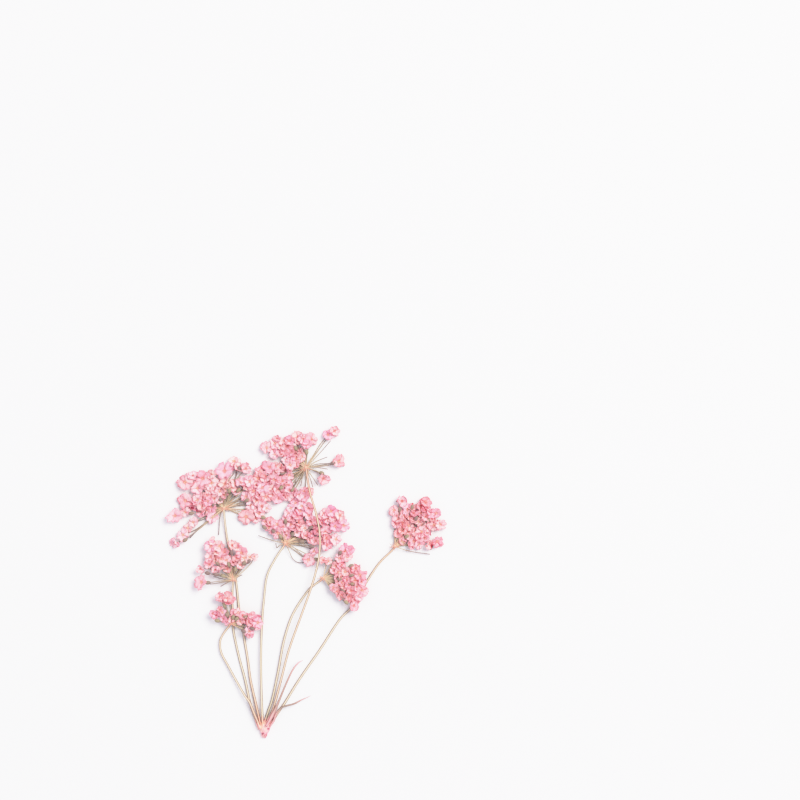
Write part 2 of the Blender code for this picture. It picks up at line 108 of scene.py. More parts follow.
print("top left of the picture, in mm:", [round(v / MM) for v in place(0, 0, 0)])

# %% [markdown]
# ## Camera
# The picture looks straight down, and its frame is about 216 mm wide. A long lens from half a
# metre keeps tall florets from leaning outwards, as they would under a wide one.

# %% Camera
FRAME_PIXELS = 800
VIEW_WIDTH = FRAME_PIXELS * MM_PER_PIXEL * MM
LENS = 85.0
SENSOR = 36.0

camera_data = bpy.data.cameras.new("camera")
camera_data.lens = LENS
camera_data.sensor_width = SENSOR
camera = bpy.data.objects.new("camera", camera_data)
bpy.context.scene.collection.objects.link(camera)
camera.location = place(FRAME_PIXELS / 2, FRAME_PIXELS / 2, 0)
camera.location.z = VIEW_WIDTH * LENS / SENSOR
bpy.context.scene.camera = camera
print("camera height in mm:", round(camera.location.z / MM))

# %% [markdown]
# ## Tone curve
# A camera does not cut off at white: its curve flattens there, so bright paper keeps its pale
# shadows. Here light values up to 1.8 times white are let in, and the curve bends them under 1.

# %% Tone curve
BRIGHTEST = 1.8
SHOULDER = [
    (0.0, 0.0), (0.5, 0.5), (0.75, 0.72), (1.0, 0.86), (1.25, 0.925), (1.5, 0.955),
    (BRIGHTEST, 0.97),
]

view = bpy.context.scene.view_settings
view.view_transform = "Standard"
view.use_curve_mapping = True
view.curve_mapping.white_level = (BRIGHTEST, BRIGHTEST, BRIGHTEST)
combined = view.curve_mapping.curves[3]
combined.points[0].location = (0.0, 0.0)
combined.points[-1].location = (1.0, SHOULDER[-1][1])
for light_value, shown in SHOULDER[1:-1]:
    combined.points.new(light_value / BRIGHTEST, shown)
view.curve_mapping.update()
print("curve points:", len(combined.points))

# %% [markdown]
# ## Light
# A large soft lamp stands to the upper right, so shadows fall faintly to the lower left. A pale
# lavender sky fills them, and the lamp is a little warm, so that the two together look white.

# %% Light
SKY_LAVENDER = (0.91, 0.89, 1.0, 1.0)
LAMP_WARM_WHITE = (1.0, 0.985, 0.90)
LAMP_WATTS = 15.0
LAMP_WIDTH = 0.65
LAMP_DISTANCE = 1.2
LAMP_DIRECTION = Vector((0.5, 0.42, 0.9)).normalized()
LAMP_AIM_PIXEL = (330, 580)

world = bpy.data.worlds.new("sky")
world.use_nodes = True
world.node_tree.nodes["Background"].inputs["Color"].default_value = SKY_LAVENDER
world.node_tree.nodes["Background"].inputs["Strength"].default_value = 1.0
bpy.context.scene.world = world

lamp_data = bpy.data.lights.new("lamp", "AREA")
lamp_data.shape = "DISK"
lamp_data.size = LAMP_WIDTH
lamp_data.energy = LAMP_WATTS
lamp_data.color = LAMP_WARM_WHITE
lamp = bpy.data.objects.new("lamp", lamp_data)
bpy.context.scene.collection.objects.link(lamp)
lamp.location = place(*LAMP_AIM_PIXEL, 0) + LAMP_DIRECTION * LAMP_DISTANCE
lamp.rotation_euler = LAMP_DIRECTION.to_track_quat("Z", "Y").to_euler()
print("lamp height in mm:", round(lamp.location.z / MM))

# %% [markdown]
# ## Colours and the node helper
# Colours are read as sRGB hex, the way a picture stores them, and shaders want linear
# values, so one function turns them. Another adds a node with its settings and links.

# %% Helpers for materials


def linear(hex_color):
    channels = [int(hex_color[i:i + 2], 16) / 255 for i in (0, 2, 4)]
    return (*[c / 12.92 if c <= 0.04045 else ((c + 0.055) / 1.055) ** 2.4 for c in channels], 1.0)


def add_node(tree, kind, links=None, stops=None, **settings):
    """A node with its settings. links gives, for an input's name or number, a value or a socket,
    and stops the places and colours of a ramp."""
    node = tree.nodes.new(kind)
    for name, value in settings.items():
        setattr(node, name, value)
    for index, (position, color) in enumerate(stops or []):
        elements = node.color_ramp.elements
        element = elements.new(position) if index > 1 else elements[index]
        element.position, element.color = position, linear(color)
    for key, value in (links or {}).items():
        if isinstance(value, bpy.types.NodeSocket):
            tree.links.new(value, node.inputs[key])
        else:
            node.inputs[key].default_value = value
    return node


def new_material(name, roughness, **constants):
    material = bpy.data.materials.new(name)
    material.use_nodes = True
    shader = material.node_tree.nodes["Principled BSDF"]
    shader.inputs["Roughness"].default_value = roughness
    for key, value in constants.items():
        shader.inputs[key.replace("_", " ")].default_value = value
    return material, material.node_tree, shader


print("one of the pinks as linear light:", [round(v, 2) for v in linear("FCB0C0")])

# %% [markdown]
# ## Floor
# The flower lies on plain paper. A flat grid is enough for it. The paper's tooth is far too fine
# to see from here, so its noise is drawn at about 1 mm and only roughens the shading.

# %% Floor
# Uncoated paper, pressed and matt: it gives a bright surface without any gloss.
PAPER_TOOTH = 1.1 * MM
FLOOR_HALF_SIDE = 1.5

paper, tree, shader = new_material("matt_white_paper", 0.9)
shader.inputs["Base Color"].default_value = linear("F0F0F1")
where = add_node(tree, "ShaderNodeTexCoord")
tooth = add_node(
    tree, "ShaderNodeTexNoise",
    {"Vector": where.outputs["Object"], "Scale": 1 / PAPER_TOOTH, "Detail": 3.0},
)
bump = add_node(
    tree, "ShaderNodeBump",
    {"Height": tooth.outputs["Fac"], "Strength": 0.05, "Distance": 0.05 * MM},
)
tree.links.new(bump.outputs["Normal"], shader.inputs["Normal"])

bm = bmesh.new()
bmesh.ops.create_grid(bm, x_segments=1, y_segments=1, size=FLOOR_HALF_SIDE)
floor = new_object("floor", bm, paper)
print("floor side in mm:", round(floor.dimensions.x / MM))

# %% [markdown]
# ## Petal tissue
# A dried petal is a sheet of flat cells about 0.05 mm thick. Dye soaked it unevenly, so its pink
# differs at random; points that lie deep in the head are painted darker crimson, as shade. Light
# passes through it, so it gets a little subsurface scattering. A picture could colour it, but
# every petal would then need its own; here each carries four numbers in an attribute called
# shade: how pale it is, with the painted shade taken off, how far out on the petal a point lies,
# how warm the dye is, and how near the rim the point is.

# %% Petal material
# Petal tissue, dyed in a bath and pressed dry: it gives a soft, matt, slightly see-through pink.
BLOTCH_SIZE = 1.1 * MM
BLOTCH_STRENGTH = 0.42
RIM_STRENGTH = 0.45
WRINKLE_SIZE = 0.28 * MM
WRINKLE_DEPTH = 0.06 * MM

petal_tissue, tree, shader = new_material(
    "dried_dyed_petal", 0.62, Subsurface_Weight=0.3, Subsurface_Scale=0.5 * MM, IOR=1.4,
    Sheen_Weight=0.08,
)
shader.inputs["Subsurface Radius"].default_value = (1.0, 0.45, 0.42)
shade = add_node(tree, "ShaderNodeAttribute", attribute_name="shade")
parts = add_node(tree, "ShaderNodeSeparateColor", {"Color": shade.outputs["Color"]})
where = add_node(tree, "ShaderNodeTexCoord")
blotches = add_node(
    tree, "ShaderNodeTexNoise",
    {"Vector": where.outputs["Object"], "Scale": 1 / BLOTCH_SIZE, "Detail": 5.0, "Roughness": 0.75},
)
paleness = add_node(
    tree, "ShaderNodeMath",
    {0: blotches.outputs["Fac"], 1: BLOTCH_STRENGTH, 2: parts.outputs["Red"]},
    operation="MULTIPLY_ADD",
)
cool = add_node(
    tree, "ShaderNodeValToRGB", {"Fac": paleness.outputs["Value"]},
    stops=[(0.0, "A82C48"), (1.0, "FFDAE0"), (0.2, "F490A8"), (0.5, "FCB0C0"), (0.75, "FFC8D2")],
)
warm = add_node(
    tree, "ShaderNodeValToRGB", {"Fac": paleness.outputs["Value"]},
    stops=[(0.0, "B0343E"), (1.0, "FFDED8"), (0.2, "F69496"), (0.5, "FDB3B0"), (0.75, "FFCAC2")],
)
body_color = add_node(
    tree, "ShaderNodeMix",
    {"Factor": parts.outputs["Blue"], 6: cool.outputs["Color"], 7: warm.outputs["Color"]},
    data_type="RGBA",
)
throat = add_node(
    tree, "ShaderNodeValToRGB", {"Fac": parts.outputs["Green"]},
    stops=[(0.0, "F8C4A8"), (0.3, "FFFFFF")],
)
rim = add_node(
    tree, "ShaderNodeValToRGB", {"Fac": shade.outputs["Alpha"]},
    stops=[(0.7, "FFFFFF"), (1.0, "F0AAB8")],
)
with_throat = add_node(
    tree, "ShaderNodeMix", {"Factor": 1.0, 6: body_color.outputs[2], 7: throat.outputs["Color"]},
    data_type="RGBA", blend_type="MULTIPLY",
)
with_rim = add_node(
    tree, "ShaderNodeMix",
    {"Factor": RIM_STRENGTH, 6: with_throat.outputs[2], 7: rim.outputs["Color"]},
    data_type="RGBA", blend_type="MULTIPLY",
)
tree.links.new(with_rim.outputs[2], shader.inputs["Base Color"])
wrinkles = add_node(
    tree, "ShaderNodeTexNoise",
    {"Vector": where.outputs["Object"], "Scale": 1 / WRINKLE_SIZE, "Detail": 2.0},
)
bump = add_node(
    tree, "ShaderNodeBump",
    {"Height": wrinkles.outputs["Fac"], "Strength": 0.5, "Distance": WRINKLE_DEPTH},
)
tree.links.new(bump.outputs["Normal"], shader.inputs["Normal"])
print("petal shader nodes:", len(tree.nodes))

# %% [markdown]
# ## Stem tissue
# Rays and stalks are dried stems: pale straw, with lengthwise ridges, greener or pinker in
# stretches where the dye took, and painted darker on their sides, as shade on a round stem. Their
# meshes carry a UV map, around the stem and along it in millimetres, so the streaks run along the
# stem whichever way it bends.

# %% Stem materials
STREAKS_AROUND = 9.0
STREAK_STRENGTH = 0.45
STREAK_DEPTH = 0.05 * MM


def stem_material(name, hexes, flank_shade, streak, roughness):
    """A dried stem that moves through the given colours in streaks of this length in mm."""
    material, tree, shader = new_material(name, roughness, IOR=1.45)
    along = add_node(tree, "ShaderNodeUVMap", uv_map="stem")
    shade = add_node(tree, "ShaderNodeAttribute", attribute_name="shade")
    parts = add_node(tree, "ShaderNodeSeparateColor", {"Color": shade.outputs["Color"]})
    stretch = add_node(
        tree, "ShaderNodeMapping",
        {"Vector": along.outputs["UV"], "Scale": (STREAKS_AROUND, 1 / streak, 1.0)},
    )
    streaks = add_node(
        tree, "ShaderNodeTexNoise",
        {"Vector": stretch.outputs["Vector"], "Scale": 1.0, "Detail": 3.0},
    )
    mixed = add_node(
        tree, "ShaderNodeMath",
        {0: streaks.outputs["Fac"], 1: STREAK_STRENGTH, 2: parts.outputs["Red"]},
        operation="MULTIPLY_ADD",
    )
    places = [0.0, 1.0, *[step / (len(hexes) - 1) for step in range(1, len(hexes) - 1)]]
    color = add_node(
        tree, "ShaderNodeValToRGB", {"Fac": mixed.outputs["Value"]},
        stops=list(zip(places, [hexes[0], hexes[-1], *hexes[1:-1]])),
    )
    around = add_node(tree, "ShaderNodeSeparateXYZ", {"Vector": along.outputs["UV"]})
    # painted shade: the stem's sides, around it, are coloured darker than its middle
    flank_shade_ramp = add_node(
        tree, "ShaderNodeValToRGB", {"Fac": around.outputs["X"]},
        stops=[(0.2, flank_shade), (0.8, flank_shade), (0.42, "FFFFFF"), (0.58, "FFFFFF")],
    )
    with_flank_shade = add_node(
        tree, "ShaderNodeMix",
        {"Factor": 1.0, 6: color.outputs["Color"], 7: flank_shade_ramp.outputs["Color"]},
        data_type="RGBA", blend_type="MULTIPLY",
    )
    tree.links.new(with_flank_shade.outputs[2], shader.inputs["Base Color"])
    bump = add_node(
        tree, "ShaderNodeBump",
        {"Height": streaks.outputs["Fac"], "Strength": 0.4, "Distance": STREAK_DEPTH},
    )
    tree.links.new(bump.outputs["Normal"], shader.inputs["Normal"])
    return material


# Ray: a hollow-ribbed stem, dried to straw. It gives a cream line between flanks darkened by
# painted shade.
ray_straw = stem_material(
    "dried_ray_straw", ["E2A292", "E2BEA4", "E0D0B6", "D2C6AA", "CAAEAE"], "A08C8C", 8.0, 0.55
)
# Floret stalk: as thin as a brush's bristle. It gives a fan that goes from peach to olive brown.
stalk_olive = stem_material(
    "dried_stalk_olive", ["F6AA94", "EAC2A8", "D2BC9C", "B6A58C", "948480"], "E0D4D4", 2.5, 0.6
)
# Ovary: a green seed case that dried to olive and brown. It gives dull specks among the pinks.
ovary_olive = stem_material(
    "dried_ovary", ["A89C80", "94846C", "88726A", "785C60"], "FFFFFF", 1.2, 0.6
)
# Heart of a floret: waxy cushions, and anthers that kept dark dye. It gives a warm, flecked dot.
heart_peach = stem_material(
    "dried_floret_heart", ["F6D4A8", "F0BC9C", "E09494", "9A3C4C"], "FFFFFF", 1.2, 0.5
)
# Bract: a narrow leaf, thin as paper. It gives a pink line that turns mauve where it dried brown.
bract_mauve = stem_material(
    "dried_bract", ["EEA8AE", "DAA8A4", "B6968A", "988A7C"], "C8A8B0", 7.0, 0.65
)
# Cut stalk end: soft pith that drank the most dye. It gives a rosy lump with dark nicks.
stub_peach = stem_material(
    "dyed_stub", ["F6B088", "FDC4B8", "F89CA8", "A05A62"], "FFFFFF", 2.0, 0.7
)
print("stem materials: 6")

# %% [markdown]
# ## A swept stem
# A stem could be a curve with a bevel, but then its colour could not change along it. Here a ring
# of points is extruded along a path and turned to face along it at every station. Each station
# writes its place on the colour ramp, and the UV map says how far along and around a point lies.

# %% Sweep helpers


def smooth_path(points, steps):
    """Points on a smooth curve through the given ones."""
    ends = [2 * points[0] - points[1], *points, 2 * points[-1] - points[-2]]
    path = []
    for a, b, c, d in zip(ends, ends[1:], ends[2:], ends[3:]):
        for step in range(steps):
            t = step / steps
            path.append(0.5 * (
                2 * b + (c - a) * t + (2 * a - 5 * b + 4 * c - d) * t * t
                + (3 * b - a - 3 * c + d) * t * t * t
            ))
    path.append(points[-1].copy())
    return path


def sweep(bm, path, radii, sides, tints, flat=1.0, ridge=0.0):
    """Extrudes a ring along the path, caps both ends, and writes its shade and UV map."""
    shade = bm.verts.layers.float_color["shade"]
    uv = bm.loops.layers.uv["stem"]
    current = list(
        bmesh.ops.create_circle(bm, cap_ends=True, segments=sides, radius=1.0)["verts"]
    )
    offsets = []
    for index in range(sides):
        angle = 2 * math.pi * index / sides
        reach = 1 + ridge * math.cos(angle * sides / 2)
        offsets.append(Vector((math.cos(angle) * reach, math.sin(angle) * reach * flat)))
    last = len(path) - 1
    travelled = 0.0
    length_at = {}
    up = Vector((0, 0, 1))
    stations = []
    for index, point in enumerate(path):
        ahead = path[min(index + 1, last)] - path[max(index - 1, 0)]
        along = ahead.normalized()
        across = up.cross(along)
        across = across.normalized() if across.length > 1e-6 else Vector((1, 0, 0))
        above = along.cross(across)
        if index:
            travelled += (point - path[index - 1]).length
            edges = [bm.edges.get((current[k], current[(k + 1) % sides])) for k in range(sides)]
            made = bmesh.ops.extrude_edge_only(bm, edges=edges)["geom"]
            new = [item for item in made if isinstance(item, bmesh.types.BMVert)]
            partner = {}
            for vert in new:
                for edge in vert.link_edges:
                    other = edge.other_vert(vert)
                    if other in current:
                        partner[other] = vert
            current = [partner[vert] for vert in current]
        radius = radii[index] * MM
        for offset, vert in zip(offsets, current):
            vert.co = point + (across * offset.x + above * offset.y) * radius
            vert[shade] = (tints[index], 0.0, 0.0, 1.0)
            length_at[vert] = travelled / MM
        stations.append(current)
    bmesh.ops.contextual_create(
        bm, geom=[bm.edges.get((current[k], current[(k + 1) % sides])) for k in range(sides)]
    )
    column = {vert: k / sides for ring in stations for k, vert in enumerate(ring)}
    for vert in column:
        for loop in vert.link_loops:
            loop[uv].uv = (abs(2 * column[vert] - 1), length_at[vert])


def tapering(start, end, count):
    """Radii that shrink evenly along a stem."""
    return [start - (start - end) * k / (count - 1) for k in range(count)]


def new_stem_mesh():
    bm = bmesh.new()
    bm.verts.layers.float_color.new("shade")
    bm.loops.layers.uv.new("stem")
    return bm


print("points on a curve through 3:", len(smooth_path([Vector((k, 0, 0)) for k in range(3)], 4)))

# %% [markdown]
# ## Rays
# Seven stems as thick as a heavy pencil line, each carrying one small head. They rest on the
# paper for most of their length and cross over or under one another near the foot and in the
# heads, so each has its own heights. Every ray is swept through the points read for it and ends
# inside its head's knot, so that no joint shows.

# %% Rays
RAY_ROOT_RADIUS = 0.32
RAY_TIP_RADIUS = 0.25
RAY_SIDES = 12
RAY_RIDGE = 0.07
# place on the colour ramp at the foot, in the middle and at the tip
RAY_TINTS = {
    "ray_1": (-0.05, 0.25, 0.25), "ray_2": (0.05, 0.35, 0.25), "ray_3": (-0.1, 0.25, 0.1),
    "ray_4": (0.25, 0.35, 0.15), "ray_5": (0.0, 0.14, -0.15), "ray_6": (0.55, 0.3, 0.15),
    "ray_7": (0.2, 0.3, -0.1),
}

# picture x, picture y, height of the centre line in millimetres
RAYS = {
    "ray_1": [
        (260.2, 721.4, 0.8), (255.3, 700, 0.75), (250.8, 680, 0.6), (248, 660, 0.42),
        (244.5, 639, 0.36), (242.0, 623, 0.36), (239.1, 608, 0.36), (236.3, 582, 0.36),
        (231.6, 560, 0.36), (227.9, 542, 0.5), (225.6, 524, 1.1), (224.6, 512.6, 1.4),
        (224.5, 508.5, 1.5),
    ],
    "ray_2": [
        (257.8, 724.5, 0.6), (253.9, 714, 0.65), (250.0, 701.4, 0.65), (245.4, 680, 0.5),
        (240.0, 660, 0.4), (236.0, 643, 0.36), (233.3, 628, 0.36), (232.6, 608, 0.36),
        (232.6, 596, 0.8), (233.5, 583, 1.6), (234.0, 579.5, 1.9),
    ],
    "ray_3": [
        (259.6, 723.8, 1.55), (255.0, 713, 1.75), (250.2, 701.4, 1.75), (245.0, 694.3, 1.5),
        (236.0, 679, 1.1), (228.0, 664.5, 0.9), (221.7, 652.5, 0.9), (220.4, 642, 1.0),
        (223.0, 634.6, 1.2), (229.2, 626, 1.6), (231.5, 622.8, 1.9),
    ],
    "ray_4": [
        (262.9, 720.2, 1.25), (262.0, 698, 1.25), (261.3, 661, 1.3), (262.2, 625.7, 1.2),
        (264.4, 598, 1.1), (267.4, 575.5, 1.1), (275.7, 558.3, 1.2), (283.2, 547.0, 1.5),
        (285.3, 543.5, 1.6),
    ],
    "ray_5": [
        (268.0, 721.2, 1.1), (271.2, 713.2, 1.3), (274.5, 704.6, 1.6), (281.2, 680, 2.0),
        (288.4, 652.3, 2.3), (295.4, 631.6, 2.5), (302.5, 612.4, 2.6), (312.3, 584.7, 2.8),
        (319.1, 558.3, 3.0), (320.4, 536, 3.1), (317.2, 515.3, 3.1), (310.5, 491.8, 3.0),
        (307.2, 472.6, 2.75), (306.4, 468.0, 2.3),
    ],
    "ray_6": [
        (265.2, 720.6, 0.5), (269.1, 708.8, 0.6), (272.7, 698, 0.7), (278.6, 670, 0.8),
        (283.5, 643, 0.8), (290.0, 621, 0.7), (297.0, 606.6, 0.6), (307.4, 591.4, 0.6),
        (313.2, 585.6, 0.8), (319.6, 580.8, 1.3), (323.4, 577.9, 1.7),
    ],
    "ray_7": [
        (270.9, 723.5, 0.6), (280.7, 708.6, 0.55), (285.2, 702.3, 0.5), (299.6, 679, 0.45),
        (320.0, 649.6, 0.4), (339.4, 620, 0.36), (352.4, 606.2, 0.36), (364.4, 585.6, 0.36),
        (378.5, 563.9, 0.6), (391.6, 550.6, 1.2), (394.7, 546.4, 1.5),
    ],
}


def ray_tint(share, foot, middle, tip):
    """The middle's tint, blended into the foot's and the tip's over the outer thirds."""
    towards_foot = (foot - middle) * max(0.0, 1 - 3 * share)
    towards_tip = (tip - middle) * max(0.0, 3 * share - 2)
    return middle + towards_foot + towards_tip


for name, table in RAYS.items():
    path = smooth_path([place(*row) for row in table], 6)
    bm = new_stem_mesh()
    radii = tapering(RAY_ROOT_RADIUS, RAY_TIP_RADIUS, len(path))
    tints = [ray_tint(k / (len(path) - 1), *RAY_TINTS[name]) for k in range(len(path))]
    sweep(bm, path, radii, RAY_SIDES, tints, ridge=RAY_RIDGE)
    ray = new_object(name + "_stem", bm, ray_straw)
    belongs(ray, name)

# %% [markdown]
# ## Bracts
# Two narrow leaves spring from the same place as the rays. Each is a pink sheath that narrows to
# a thin curling tail. The sweep makes them too, with a flattened ring whose width changes.

# %% Bracts
# picture x, picture y, height, half the width, place on the colour ramp
BRACTS = {
    "bract_1": [
        (266.6, 725.0, 2.4, 0.3, -0.1), (270.2, 719, 2.6, 0.42, 0.0),
        (273.2, 713, 2.75, 0.52, 0.15), (276.6, 706.2, 2.9, 0.36, 0.4),
        (281.2, 695.5, 2.9, 0.28, 0.5), (286.6, 682.5, 2.6, 0.25, 0.45),
        (292.9, 669.3, 2.1, 0.23, 0.25), (298.4, 662.2, 1.8, 0.18, -0.1),
        (303.4, 659.4, 1.6, 0.07, -0.1),
    ],
    "bract_2": [
        (270.4, 725.2, 1.75, 0.22, -0.1), (274.2, 719.6, 1.75, 0.3, 0.0),
        (276.8, 712.6, 1.8, 0.3, 0.2), (282.4, 706.2, 1.8, 0.26, 0.7),
        (294.0, 703.0, 1.5, 0.24, 0.6), (301.3, 699.4, 1.2, 0.18, 0.2),
        (311.0, 695.2, 0.9, 0.06, -0.1),
    ],
}
BRACT_SIDES = 10
BRACT_FLATNESS = 0.45

for name, table in BRACTS.items():
    path = smooth_path([place(*row[:3]) for row in table], 5)
    extras = smooth_path([Vector((row[3], row[4], 0)) for row in table], 5)
    bm = new_stem_mesh()
    sweep(
        bm, path, [extra.x for extra in extras], BRACT_SIDES, [extra.y for extra in extras],
        flat=BRACT_FLATNESS,
    )
    bract = new_object(name + "_leaf", bm, bract_mauve)
    belongs(bract, name)

# %% [markdown]
# ## The cut stalk end
# Where the rays meet, the stalk was snipped. It dried to a lumpy pink and peach wedge whose cut
# end is frayed. It could be sculpted by hand; here a sphere is flattened, narrowed to its cut end
# and roughened with noise.

# %% Stub
STUB_HALF_SIZE = Vector((1.75, 1.9, 1.0))
STUB_MIDDLE_HEIGHT = 0.75
STUB_TAPER = 0.4
# fineness and strength of the two noises that make it lumpy
LUMPS = [(2.2, 0.2), (5.0, 0.13)]
DARK_SPOTS = [Vector((-0.5, -1.3)), Vector((1.0, 0.0)), Vector((0.3, -1.9))]
SPOT_RADIUS = 0.32
SPOT_DARKNESS = 0.7

bm = new_stem_mesh()
shade = bm.verts.layers.float_color["shade"]
for vert in bmesh.ops.create_icosphere(bm, subdivisions=5, radius=MM)["verts"]:
    ball = vert.co / MM
    lump = sum(noise.noise(ball * fineness) * strength for fineness, strength in LUMPS)
    spot = vert.co * (1 + lump)
    narrow = 1 - STUB_TAPER * 0.5 * (1 - ball.y)
    height = spot.z * STUB_HALF_SIZE.z + STUB_MIDDLE_HEIGHT * MM
    vert.co = Vector(
        (spot.x * STUB_HALF_SIZE.x * narrow, spot.y * STUB_HALF_SIZE.y, max(height, 0.0))
    )
    dark = max(
        math.exp(-((vert.co.xy / MM - middle).length / SPOT_RADIUS) ** 2) for middle in DARK_SPOTS
    )
    tint = 0.2 - ball.y * 0.2 + ball.x * 0.1 + lump + SPOT_DARKNESS * dark
    vert[shade] = (tint, 0.0, 0.0, 1.0)
print("stub points:", len(bm.verts))

# %% [markdown]
# ### Torn fibres
# The cut crushed the stalk's strings, and scraps of its skin clasp the foot of each ray. Both are
# short swept stems with bends drawn at random, in the same mesh as the lump.

# %% Fibres
FIBRES = 22
FIBRE_SPREAD = 0.75
FIBRE_ROOT_Y = -0.9
FIBRE_ROOT_HEIGHT = (0.3, 1.5)
FIBRE_LENGTH = (0.8, 1.9)
FIBRE_RADII = (0.2, 0.06)
FIBRE_SIDES = 5
SCRAPS_PER_RAY = 4
SCRAP_LENGTH = (0.4, 2.2)
SCRAP_RADII = (0.26, 0.06)
SCRAP_ROOT = 1.2

draw = random.Random(SEED + 1)
for _ in range(FIBRES):
    side = draw.uniform(-FIBRE_SPREAD, FIBRE_SPREAD)
    root = Vector((side, FIBRE_ROOT_Y, draw.uniform(*FIBRE_ROOT_HEIGHT)))
    tip = root + Vector((draw.uniform(-0.3, 0.3) - side * 0.3, -draw.uniform(*FIBRE_LENGTH), 0))
    tip.z = max(0.15, root.z * 0.7)
    bend = root.lerp(tip, 0.5) + Vector((draw.uniform(-0.15, 0.15), 0, draw.uniform(-0.1, 0.1)))
    path = smooth_path([root * MM, bend * MM, tip * MM], 3)
    radii = tapering(*FIBRE_RADII, len(path))
    sweep(bm, path, radii, FIBRE_SIDES, [draw.uniform(0.1, 0.6)] * len(path))
for table in RAYS.values():
    start = place(*table[0])
    along = (place(*table[1]) - start).normalized()
    for _ in range(SCRAPS_PER_RAY):
        drift = Vector([draw.uniform(-0.3, 0.3) * MM for _ in range(3)])
        root = start - along * SCRAP_ROOT * MM + drift * 0.5
        tip = start + along * draw.uniform(*SCRAP_LENGTH) * MM + drift
        middle = root.lerp(tip, 0.5) + Vector((0, 0, 0.25 * MM))
        path = smooth_path([root, middle, tip], 3)
        radii = tapering(*SCRAP_RADII, len(path))
        sweep(bm, path, radii, FIBRE_SIDES, [draw.uniform(-0.2, 0.3)] * len(path))
stub = new_object("stalk_end", bm, stub_peach)
belongs(stub, "peduncle_stub")
